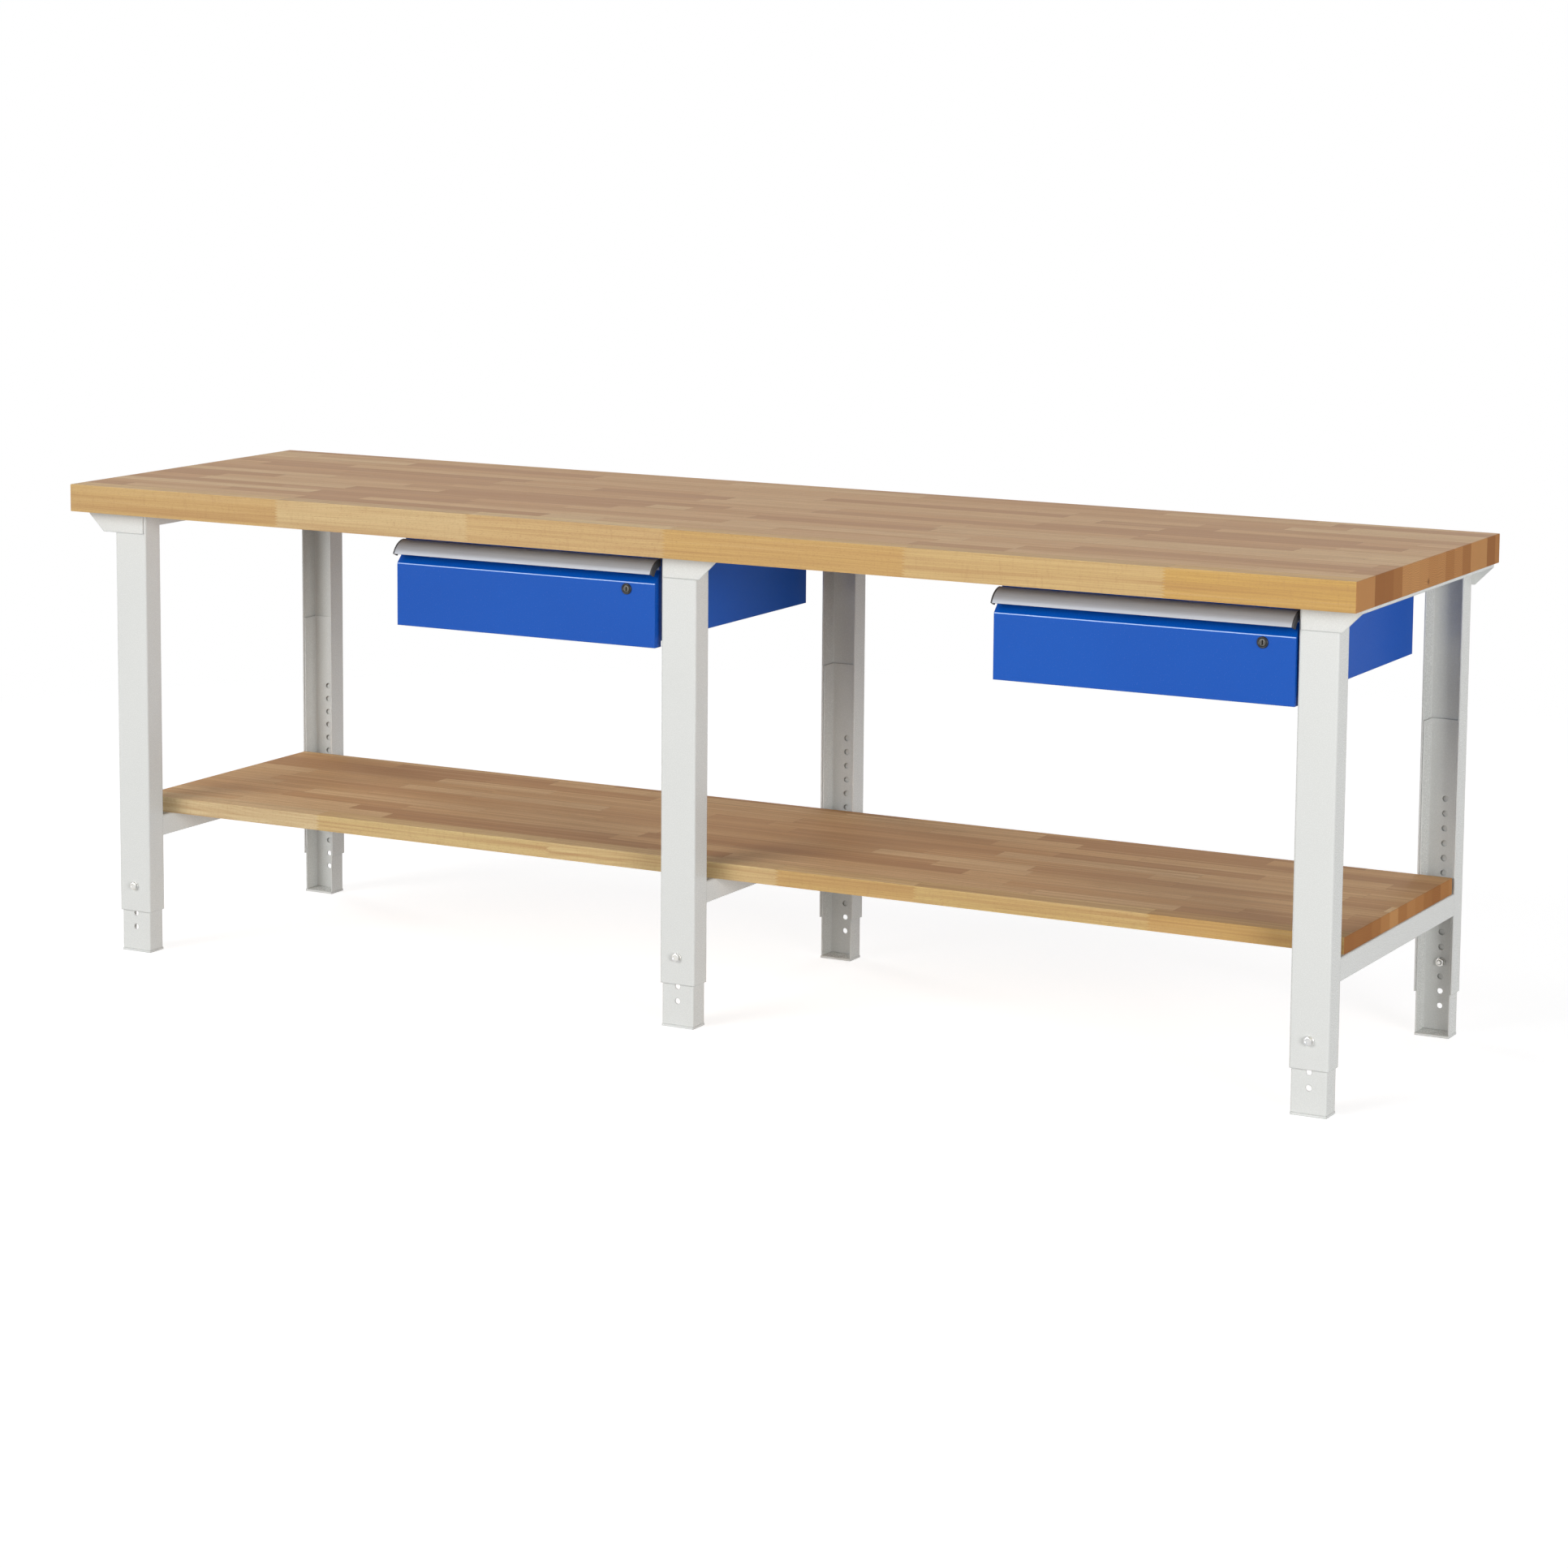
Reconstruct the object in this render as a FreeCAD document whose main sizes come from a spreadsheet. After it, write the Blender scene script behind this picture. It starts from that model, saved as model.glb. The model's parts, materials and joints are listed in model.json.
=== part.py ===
import FreeCAD, Part
import os

import Sketcher

# Workbench, in millimetres: beech worktop and shelf on three leg frames, six telescopic
# feet and two hanging drawers. Origin on the floor under the middle of the worktop,
# X along the bench, the front towards -Y, Z up.

SIZES = [
    # worktop and frames
    ("bench_height", "872"),
    ("top_length", "2500"),
    ("top_depth", "700"),
    ("top_thickness", "50"),
    ("board_edge", "1.5"),
    ("end_inset_left", "113"),
    ("end_inset_right", "71"),
    ("leg_inset", "30.5"),
    ("leg_width", "68"),
    ("leg_depth", "43"),
    ("leg_wall", "2.5"),
    ("leg_bend", "4"),
    ("leg_bottom", "77"),
    # top beams
    ("beam_sheet", "2.5"),
    ("beam_reach_left", "57"),
    ("beam_reach_middle", "39"),
    ("beam_reach_right", "37"),
    ("beam_flange", "24"),
    ("beam_lip", "5"),
    ("flap_height", "37"),
    ("flap_slant", "32"),
    ("flap_margin", "4"),
    # shelf and its rails
    ("shelf_top", "283"),
    ("shelf_thickness", "28"),
    ("shelf_end_inset", "4"),
    ("shelf_front_gap", "26"),
    ("shelf_back_gap", "2"),
    ("rail_height", "38"),
    ("rail_sheet", "2"),
    ("rail_bend", "3"),
    # feet
    ("foot_gap", "0.5"),
    ("foot_wall", "2.5"),
    ("foot_bend", "3"),
    ("foot_edge_gap", "2"),
    ("foot_top", "550"),
    ("foot_hole_radius", "5"),
    ("first_hole", "47"),
    ("hole_pitch", "26"),
    ("hole_count", "15"),
    ("bolt_hole", "3"),
    ("plate_thickness", "4"),
    ("plate_lip", "2.5"),
    ("anchor_radius", "5.5"),
    # height bolts
    ("bolt_radius", "4"),
    ("bolt_hole_gap", "0.5"),
    ("bolt_head_width", "13"),
    ("bolt_head_height", "5.3"),
    ("bolt_end", "2"),
    ("washer_radius", "8"),
    ("washer_thickness", "1.6"),
    ("thread_gap", "0.05"),
    ("nut_height", "6.5"),
    ("nut_gap", "0.3"),
    # wood screws
    ("screw_radius", "2.5"),
    ("screw_head_radius", "5"),
    ("screw_head_height", "2.5"),
    ("screw_hole_gap", "0.5"),
    ("pilot_gap", "0.05"),
    ("top_screw_bite", "30"),
    ("shelf_screw_bite", "18"),
    ("top_screw_across", "30"),
    ("top_screw_along", "400"),
    ("shelf_screw_along", "300"),
    # drawer fronts
    ("front_width", "526"),
    ("front_setback", "28"),
    ("front_gap", "9"),
    ("drawer_sheet", "1.5"),
    ("face_height", "111"),
    ("recess_depth", "20"),
    ("grip_wall", "18.5"),
    ("front_flange", "31"),
    ("face_bend", "3"),
    ("drawer_gap_left", "11"),
    ("drawer_gap_right", "3.5"),
    # grips
    ("grip_radius", "38"),
    ("grip_sheet", "2"),
    ("grip_sweep", "67"),
    ("grip_seat", "0.5"),
    ("grip_offset", "1"),
    ("grip_web_clear", "2"),
    ("cap_thickness", "3"),
    ("cap_band", "12"),
    # drawer housings and trays
    ("house_margin", "4"),
    ("house_gap", "0.5"),
    ("house_depth", "540"),
    ("house_lift", "9"),
    ("house_flange", "15"),
    ("latch_lip", "25"),
    ("house_screw_across", "400"),
    ("house_screw_inset", "60"),
    ("tray_sheet", "1.2"),
    ("tray_back_gap", "50.5"),
    ("tray_lock_gap", "5"),
    ("tray_lift", "6"),
    ("front_screw_radius", "1.75"),
    ("front_screw_head", "3.5"),
    ("front_screw_head_height", "2"),
    ("front_screw_end", "2"),
    ("front_screw_inset", "60"),
    ("front_screw_count", "4"),
    # telescopic rails
    ("slide_back_gap", "38"),
    ("slide_height", "45"),
    ("slide_thickness", "12.7"),
    ("slide_sheet", "1.4"),
    ("slide_gap", "0.3"),
    ("slide_lip_outer", "9"),
    ("slide_lip_middle", "10.5"),
    ("slide_lift", "19.5"),
    ("slide_setback", "2"),
    # locks
    ("lock_inset", "56"),
    ("lock_drop", "12"),
    ("lock_head_radius", "9.75"),
    ("lock_head_thickness", "2.5"),
    ("lock_body_radius", "8"),
    ("lock_body_length", "25.5"),
    ("lock_gap", "0.1"),
    ("plug_radius", "6"),
    ("plug_gap", "0.05"),
    ("plug_sink", "0.5"),
    ("key_slot_width", "1.4"),
    ("key_slot_height", "7"),
    ("key_slot_depth", "10"),
    ("cam_gap", "0.4"),
    ("cam_length", "42"),
    ("cam_width", "14"),
    ("cam_thickness", "2.5"),
    ("lock_nut_width", "19"),
    ("lock_nut_height", "3.5"),
]

doc = FreeCAD.newDocument("Workbench")
sheet = doc.addObject("Spreadsheet::Sheet", "Size")
for row, (size_name, size_text) in enumerate(SIZES, start=1):
    sheet.set(f"A{row}", size_name)
    sheet.set(f"B{row}", size_text)
    sheet.setAlias(f"B{row}", size_name)
doc.recompute()

SIDES = ("left", "middle", "right")
ENDS = ("front", "back")
DRAWERS = ("left", "right")

# Heights and places that several pieces share, as expressions over the sheet
UNDERSIDE = "(Size.bench_height - Size.top_thickness)"
LEG_TOP = f"({UNDERSIDE} - Size.beam_sheet)"
WEB_FACE = "(Size.top_depth / 2 - Size.leg_inset)"
LEG_EDGE = f"({WEB_FACE} - Size.leg_depth)"
BOLT_Z = "(Size.first_hole + Size.bolt_hole * Size.hole_pitch)"
SHELF_BOTTOM = "(Size.shelf_top - Size.shelf_thickness)"
SHELF_REACH = "(Size.leg_width / 2 - Size.shelf_end_inset)"
RAIL_BOTTOM = f"({SHELF_BOTTOM} - Size.rail_height)"
FOOT_INSET = "(Size.leg_wall + Size.foot_gap)"
FOOT_WIDTH = f"(Size.leg_width - 2 * {FOOT_INSET})"
FOOT_DEPTH = f"(Size.leg_depth - {FOOT_INSET} - Size.foot_edge_gap)"
# X of the middle of each leg frame: the outer ones keep their distance from the worktop's ends
FRAME_X = {
    "left": "(Size.end_inset_left - Size.top_length / 2)",
    "middle": "((Size.end_inset_left - Size.end_inset_right) / 2)",
    "right": "(Size.top_length / 2 - Size.end_inset_right)",
}

# Drawer places: X is the left end of the front, Y its outer face, Z its bottom edge
DRAWER_LEG = {"left": "middle", "right": "right"}
FRONT_X = {
    side: f"({FRAME_X[DRAWER_LEG[side]]} - Size.leg_width / 2 - Size.drawer_gap_{side} - Size.front_width)"
    for side in DRAWERS
}
FRONT_Y = "(Size.front_setback - Size.top_depth / 2)"
FRONT_DEPTH = "(Size.recess_depth + Size.drawer_sheet)"
FRONT_TOP = "(Size.face_height + Size.recess_depth + Size.grip_wall)"
GRIP_TOP = f"({UNDERSIDE} - Size.front_gap)"
FRONT_Z = f"({GRIP_TOP} - Size.grip_sheet - Size.grip_seat - {FRONT_TOP})"
LOCK_Z = f"({FRONT_Z} + Size.face_height - Size.lock_drop)"
TRAY_Y = f"({FRONT_Y} + {FRONT_DEPTH})"
HOUSE_Y = f"({TRAY_Y} + Size.house_gap)"
HOUSE_Z = f"({FRONT_Z} + Size.house_lift)"
HOUSE_HEIGHT = f"({UNDERSIDE} - {HOUSE_Z})"
HOUSE_WIDTH = "(Size.front_width - 2 * Size.house_margin)"
HOUSE_INSIDE = f"({HOUSE_WIDTH} - 2 * Size.drawer_sheet)"
TRAY_Z = f"({HOUSE_Z} + Size.tray_lift)"
TRAY_WIDTH = f"({HOUSE_INSIDE} - 2 * Size.slide_thickness)"
TRAY_DEPTH = "(Size.house_depth + Size.house_gap - Size.tray_back_gap)"
TRAY_HEIGHT = f"({LOCK_Z} - Size.cam_width / 2 - Size.tray_lock_gap - {TRAY_Z})"
SLIDE_Y = f"({HOUSE_Y} + Size.slide_setback)"
SLIDE_Z = f"({HOUSE_Z} + Size.slide_lift)"
SLIDE_LENGTH = "(Size.house_depth - Size.slide_setback - Size.slide_back_gap)"

ALONG_Y = FreeCAD.Rotation(FreeCAD.Vector(1, 0, 0), -90)
UPRIGHT = FreeCAD.Rotation()
HALF_TURN = FreeCAD.Rotation(FreeCAD.Vector(0, 0, 1), 180)
# turns a sector so that its axis lies along X and it sweeps from straight up towards the front
OVER_THE_FRONT = FreeCAD.Rotation(
    FreeCAD.Vector(0, 0, 1), FreeCAD.Vector(0, -1, 0), FreeCAD.Vector(1, 0, 0), "ZXY"
)

nodes = []


def number(expression):
    """The value of an expression over the sheet."""
    result = sheet.evalExpression(expression)
    return float(getattr(result, "Value", result))


def place(piece, spot, turn=UPRIGHT):
    """Turn a piece, and bind its position to the sheet."""
    piece.Placement = FreeCAD.Placement(FreeCAD.Vector(), turn)
    for axis, expression in zip("xyz", spot):
        piece.setExpression(f"Placement.Base.{axis}", expression)
    return piece


def keep(piece, label):
    """Give a finished sub-part the name of its node."""
    piece.Label = label
    nodes.append(piece)
    return piece


def box(name, corner, sides):
    """A block from its lowest corner and its three sides."""
    piece = doc.addObject("Part::Box", name)
    for side, expression in zip(("Length", "Width", "Height"), sides):
        piece.setExpression(side, expression)
    return place(piece, corner)


def rod(name, spot, turn, radius, length):
    """A cylinder that starts at a spot."""
    piece = doc.addObject("Part::Cylinder", name)
    piece.setExpression("Radius", radius)
    piece.setExpression("Height", length)
    return place(piece, spot, turn)


def hexagon(name, spot, turn, width, length):
    """A six-sided prism, its width measured across the flats."""
    piece = doc.addObject("Part::Prism", name)
    piece.Polygon = 6
    piece.setExpression("Circumradius", f"{width} / sqrt(3)")
    piece.setExpression("Height", length)
    return place(piece, spot, turn)


def fuse(name, pieces):
    """One solid of several that touch or overlap."""
    piece = doc.addObject("Part::MultiFuse", name)
    piece.Shapes = pieces
    piece.Refine = True
    return piece


def cut(name, base, tools):
    """A solid with one or more others taken out of it."""
    piece = doc.addObject("Part::Cut", name)
    piece.Base = base
    piece.Tool = tools[0] if len(tools) == 1 else group(f"{name}_tools", tools)
    return piece


def group(name, pieces):
    """Separate solids kept in one object."""
    piece = doc.addObject("Part::Compound", name)
    piece.Links = pieces
    return piece


def new_body(label):
    """An empty body for one sub-part."""
    return keep(doc.addObject("PartDesign::Body", label), label)


def hold(sketch, geometry, point, x, y):
    """Bind one sketch point to the sheet, measured from the sketch's origin."""
    for kind, axis, expression in (("DistanceX", -2, x), ("DistanceY", -1, y)):
        if expression == "0":
            sketch.addConstraint(Sketcher.Constraint("PointOnObject", geometry, point, axis))
        else:
            distance = Sketcher.Constraint(kind, -1, 1, geometry, point, number(expression))
            index = sketch.addConstraint(distance)
            sketch.setExpression(f"Constraints[{index}]", expression)


def new_sketch(body, name, role, height):
    """A sketch on one of the body's own planes, raised along the plane's normal."""
    sketch = body.newObject("Sketcher::SketchObject", name)
    plane = next(item for item in body.Origin.OriginFeatures if item.Role == role)
    sketch.AttachmentSupport = [(plane, "")]
    sketch.MapMode = "FlatFace"
    # the normal of the XZ plane points towards -Y
    sketch.setExpression("AttachmentOffset.Base.z", f"-({height})" if role == "XZ_Plane" else height)
    return sketch


def pad(body, name, role, corners, start, length):
    """Add a prism to a body: an outline on a plane, grown towards +X, +Y or +Z."""
    sketch = new_sketch(body, f"{name}_outline", role, start)
    spots = [FreeCAD.Vector(number(x), number(y), 0) for x, y in corners]
    count = len(spots)
    for index in range(count):
        sketch.addGeometry(Part.LineSegment(spots[index], spots[(index + 1) % count]), False)
    for index in range(count):
        sketch.addConstraint(Sketcher.Constraint("Coincident", index, 2, (index + 1) % count, 1))
    for index, (x, y) in enumerate(corners):
        hold(sketch, index, 1, x, y)
    feature = body.newObject("PartDesign::Pad", name)
    feature.Profile = sketch
    feature.Reversed = role == "XZ_Plane"
    feature.setExpression("Length", length)
    doc.recompute()
    return feature


def drill(body, name, role, centres, radius, start, depth):
    """Take round holes out of a body, from a plane towards +X, +Y or +Z."""
    before = body.Shape.Volume
    sketch = new_sketch(body, f"{name}_circles", role, start)
    for index, (x, y) in enumerate(centres):
        middle = FreeCAD.Vector(number(x), number(y), 0)
        normal = FreeCAD.Vector(0, 0, 1)
        sketch.addGeometry(Part.Circle(middle, normal, number(radius)), False)
        hold(sketch, index, 3, x, y)
        bound = sketch.addConstraint(Sketcher.Constraint("Radius", index, number(radius)))
        sketch.setExpression(f"Constraints[{bound}]", radius)
    pocket = body.newObject("PartDesign::Pocket", name)
    pocket.Profile = sketch
    pocket.Reversed = role != "XZ_Plane"
    pocket.setExpression("Length", depth)
    doc.recompute()
    if body.Shape.Volume >= before:
        raise RuntimeError(f"{name} in {body.Label} cut nothing")
    return pocket


def round_off(body, name, radius, wanted):
    """Round those edges of a body that a test picks."""
    base = body.Tip
    edges = [f"Edge{index}" for index, edge in enumerate(base.Shape.Edges, start=1) if wanted(edge)]
    fillet = body.newObject("PartDesign::Fillet", name)
    fillet.Base = (base, edges)
    fillet.setExpression("Radius", radius)
    doc.recompute()
    return fillet


def edge_test(direction, spots):
    """A test for straight edges along one axis that pass through one of the given spots.

    A spot gives the other two coordinates, in X, Y, Z order.
    """
    others = [index for index in range(3) if index != "XYZ".index(direction)]
    targets = [[number(expression) for expression in spot] for spot in spots]

    def wanted(edge):
        ends = [vertex.Point for vertex in edge.Vertexes]
        return len(ends) == 2 and any(
            all(abs(end[axis] - value) < 0.01 for end in ends for axis, value in zip(others, target))
            for target in targets
        )

    return wanted


def channel(body, name, role, inset, sides, wall, start, length):
    """A C-channel, with its web on the sketch's X axis side and open away from it."""
    width, depth = sides
    far = f"({inset} + {width})"
    tip = f"({inset} + {depth})"
    corners = [
        (inset, inset),
        (far, inset),
        (far, tip),
        (f"{far} - {wall}", tip),
        (f"{far} - {wall}", f"{inset} + {wall}"),
        (f"{inset} + {wall}", f"{inset} + {wall}"),
        (f"{inset} + {wall}", tip),
        (inset, tip),
    ]
    return pad(body, name, role, corners, start, length)


def round_channel(body, inset, width, wall, bend):
    """Round the two bends of an upright C-channel, outside and inside."""
    far = f"({inset} + {width})"
    outside = [(inset, inset), (far, inset)]
    inside = [(f"{inset} + {wall}", f"{inset} + {wall}"), (f"{far} - {wall}", f"{inset} + {wall}")]
    round_off(body, "outer_bends", bend, edge_test("Z", outside))
    round_off(body, "inner_bends", f"max({bend} - {wall}; {wall} / 5)", edge_test("Z", inside))


def stand(body, side, end):
    """Put a piece that is drawn in its leg's own frame where that leg stands.

    The leg's frame has its corner at the web's outer face, and Y points to the middle of the bench.
    """
    if end == "front":
        place(body, (f"{FRAME_X[side]} - Size.leg_width / 2", f"-{WEB_FACE}", "0"))
    else:
        place(body, (f"{FRAME_X[side]} + Size.leg_width / 2", WEB_FACE, "0"), HALF_TURN)


def inward(end, near, far):
    """Start and length along Y of a stretch measured inwards from a leg's outer face."""
    start = f"({near}) - {WEB_FACE}" if end == "front" else f"{WEB_FACE} - ({far})"
    return start, f"({far}) - ({near})"


# Worktop: one board, drilled from below for the screws of the beams and housings


def top_screw_spots():
    """X and Y of the screws that hold the worktop on its beams."""
    return [
        (f"{FRAME_X[side]} + {across} * Size.top_screw_across / 2", f"{along} * Size.top_screw_along / 2")
        for side in SIDES
        for across in (-1, 1)
        for along in (-1, 1)
    ]


def house_screw_spots():
    """X and Y of the screws that hang the housings under the worktop."""
    rows = (
        f"{HOUSE_Y} + Size.house_screw_inset",
        f"{HOUSE_Y} + Size.house_depth - Size.house_screw_inset",
    )
    return [
        (f"{FRONT_X[side]} + Size.front_width / 2 + {across} * Size.house_screw_across / 2", row)
        for side in DRAWERS
        for across in (-1, 1)
        for row in rows
    ]


def shelf_screw_spots():
    """X and Y of the screws that hold the shelf on its rails."""
    return [
        (FRAME_X[side], f"{along} * Size.shelf_screw_along / 2") for side in SIDES for along in (-1, 1)
    ]


def board(label, corner, sides, screw_spots, bite):
    """A wooden board with softened edges and pilot holes in its underside."""
    length, depth, thickness = sides
    body = new_body(label)
    outline = [("0", "0"), (length, "0"), (length, depth), ("0", depth)]
    pad(body, "board", "XY_Plane", outline, "0", thickness)
    ends = [(x, y) for x in ("0", length) for y in ("0", depth)]
    top = number(thickness)
    upright = edge_test("Z", ends)
    round_off(
        body,
        "edges",
        "Size.board_edge",
        lambda edge: upright(edge) or all(abs(v.Point.z - top) < 0.01 for v in edge.Vertexes),
    )
    centres = [(f"{x} - ({corner[0]})", f"{y} - ({corner[1]})") for x, y in screw_spots]
    drill(body, "pilot_holes", "XY_Plane", centres, "Size.screw_radius + Size.pilot_gap", "0", bite)
    return place(body, corner)


board(
    "worktop",
    ("-Size.top_length / 2", "-Size.top_depth / 2", UNDERSIDE),
    ("Size.top_length", "Size.top_depth", "Size.top_thickness"),
    top_screw_spots() + house_screw_spots(),
    "Size.top_screw_bite + Size.pilot_gap",
)

# Shelf: a thinner board that lies on the three rails, just clear of the back legs

board(
    "shelf",
    (
        f"{FRAME_X['left']} - {SHELF_REACH}",
        f"Size.shelf_front_gap - {LEG_EDGE}",
        SHELF_BOTTOM,
    ),
    (
        f"{FRAME_X['right']} - {FRAME_X['left']} + 2 * {SHELF_REACH}",
        f"2 * {LEG_EDGE} - Size.shelf_front_gap - Size.shelf_back_gap",
        "Size.shelf_thickness",
    ),
    shelf_screw_spots(),
    "Size.shelf_screw_bite + Size.pilot_gap",
)

# Legs: C-channels with the web outside, each with one hole for its height bolt


def leg(side, end):
    """One leg, drawn in its own frame."""
    body = new_body(f"leg_{side}_{end}")
    sides = ("Size.leg_width", "Size.leg_depth")
    channel(body, "channel", "XY_Plane", "0", sides, "Size.leg_wall", "Size.leg_bottom",
            f"{LEG_TOP} - Size.leg_bottom")
    round_channel(body, "0", "Size.leg_width", "Size.leg_wall", "Size.leg_bend")
    radius = "Size.bolt_radius + Size.bolt_hole_gap"
    drill(body, "bolt_hole", "XZ_Plane", [("Size.leg_width / 2", BOLT_Z)], radius, "0", "Size.leg_wall")
    stand(body, side, end)


# Feet: smaller C-channels inside the legs, with a row of holes up the web


def foot(side, end):
    """One foot, drawn in its leg's frame."""
    body = new_body(f"foot_{side}_{end}")
    channel(body, "channel", "XY_Plane", FOOT_INSET, (FOOT_WIDTH, FOOT_DEPTH), "Size.foot_wall",
            "Size.plate_thickness", "Size.foot_top - Size.plate_thickness")
    round_channel(body, FOOT_INSET, FOOT_WIDTH, "Size.foot_wall", "Size.foot_bend")
    middle = "Size.leg_width / 2"
    hole = drill(body, "hole", "XZ_Plane", [(middle, "Size.first_hole")], "Size.foot_hole_radius",
                 FOOT_INSET, "Size.foot_wall")
    row = body.newObject("PartDesign::LinearPattern", "hole_row")
    row.Originals = [hole]
    row.Direction = (hole.Profile[0], ["V_Axis"])
    row.setExpression("Length", "Size.hole_pitch * (Size.hole_count - 1)")
    row.setExpression("Occurrences", "Size.hole_count")
    body.Tip = row
    doc.recompute()
    stand(body, side, end)


def foot_plate(side, end):
    """The base plate welded under one foot, with a hole for a floor anchor."""
    body = new_body(f"foot_plate_{side}_{end}")
    far = f"{FOOT_INSET} + {FOOT_WIDTH}"
    deep = f"{FOOT_INSET} + {FOOT_DEPTH} + Size.plate_lip"
    outline = [(FOOT_INSET, FOOT_INSET), (far, FOOT_INSET), (far, deep), (FOOT_INSET, deep)]
    pad(body, "plate", "XY_Plane", outline, "0", "Size.plate_thickness")
    centre = ("Size.leg_width / 2", f"{FOOT_INSET} + {FOOT_DEPTH} / 2")
    drill(body, "anchor_hole", "XY_Plane", [centre], "Size.anchor_radius", "0", "Size.plate_thickness")
    stand(body, side, end)


for side in SIDES:
    for end in ENDS:
        leg(side, end)
        foot(side, end)
        foot_plate(side, end)

# Top beams: a plate under the worktop with a flange between the legs, a lip on the outer
# edge and slanted flaps folded down over the front and back legs


def top_beam(side):
    body = new_body(f"top_beam_{side}")
    reach = f"Size.beam_reach_{side}"
    width = f"(Size.leg_width + {reach})"
    outward = side != "left"
    half = f"({WEB_FACE} + Size.beam_sheet)"
    plate = [("0", "0"), (width, "0"), (width, f"2 * {half}"), ("0", f"2 * {half}")]
    sheet_z = "Size.flap_height - Size.beam_sheet"
    pad(body, "plate", "XY_Plane", plate, sheet_z, "Size.beam_sheet")

    def strip(name, at_outer_edge, height, start, length):
        """A strip folded down along one long edge of the plate."""
        near = f"{width} - Size.beam_sheet" if at_outer_edge == outward else "0"
        far = width if at_outer_edge == outward else "Size.beam_sheet"
        low = f"Size.flap_height - {height}"
        outline = [(near, low), (far, low), (far, "Size.flap_height"), (near, "Size.flap_height")]
        pad(body, name, "XZ_Plane", outline, start, length)

    strip("flange", False, "Size.beam_flange", f"{half} - {LEG_EDGE}", f"2 * {LEG_EDGE}")
    strip("lip", True, "Size.beam_lip", "0", f"2 * {half}")
    if outward:
        flap = [
            ("Size.flap_margin", "0"),
            (f"{width} - Size.flap_slant", "0"),
            (width, "Size.flap_slant"),
            (width, "Size.flap_height"),
            ("Size.flap_margin", "Size.flap_height"),
        ]
    else:
        flap = [
            ("Size.flap_slant", "0"),
            (f"{width} - Size.flap_margin", "0"),
            (f"{width} - Size.flap_margin", "Size.flap_height"),
            ("0", "Size.flap_height"),
            ("0", "Size.flap_slant"),
        ]
    pad(body, "front_flap", "XZ_Plane", flap, "0", "Size.beam_sheet")
    pad(body, "back_flap", "XZ_Plane", flap, f"2 * {half} - Size.beam_sheet", "Size.beam_sheet")
    left_edge = f"{FRAME_X[side]} - Size.leg_width / 2" + ("" if outward else f" - {reach}")
    corner = (left_edge, f"-{half}", f"{UNDERSIDE} - Size.flap_height")
    spots = [
        (f"{x} - ({corner[0]})", f"{y} - ({corner[1]})")
        for x, y in top_screw_spots()
        if x.startswith(FRAME_X[side])
    ]
    drill(body, "screw_holes", "XY_Plane", spots, "Size.screw_radius + Size.screw_hole_gap", sheet_z,
          "Size.beam_sheet")
    place(body, corner)


# Shelf rails: upturned U-channels between a front and a back leg


def shelf_rail(side):
    body = new_body(f"shelf_rail_{side}")
    width = "Size.leg_width"
    height = "Size.rail_height"
    wall = "Size.rail_sheet"
    outline = [
        ("0", "0"),
        (wall, "0"),
        (wall, f"{height} - {wall}"),
        (f"{width} - {wall}", f"{height} - {wall}"),
        (f"{width} - {wall}", "0"),
        (width, "0"),
        (width, height),
        ("0", height),
    ]
    pad(body, "channel", "XZ_Plane", outline, "0", f"2 * {LEG_EDGE}")
    round_off(body, "bends", "Size.rail_bend", edge_test("Y", [("0", height), (width, height)]))
    spots = [
        (f"{width} / 2", f"{LEG_EDGE} + {y}") for x, y in shelf_screw_spots() if x == FRAME_X[side]
    ]
    drill(body, "screw_holes", "XY_Plane", spots, "Size.screw_radius + Size.screw_hole_gap",
          f"{height} - {wall}", wall)
    place(body, (f"{FRAME_X[side]} - {width} / 2", f"-{LEG_EDGE}", RAIL_BOTTOM))


for side in SIDES:
    top_beam(side)
    shelf_rail(side)

# Height bolts: head and washer outside the leg, washer and nut inside the foot


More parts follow.
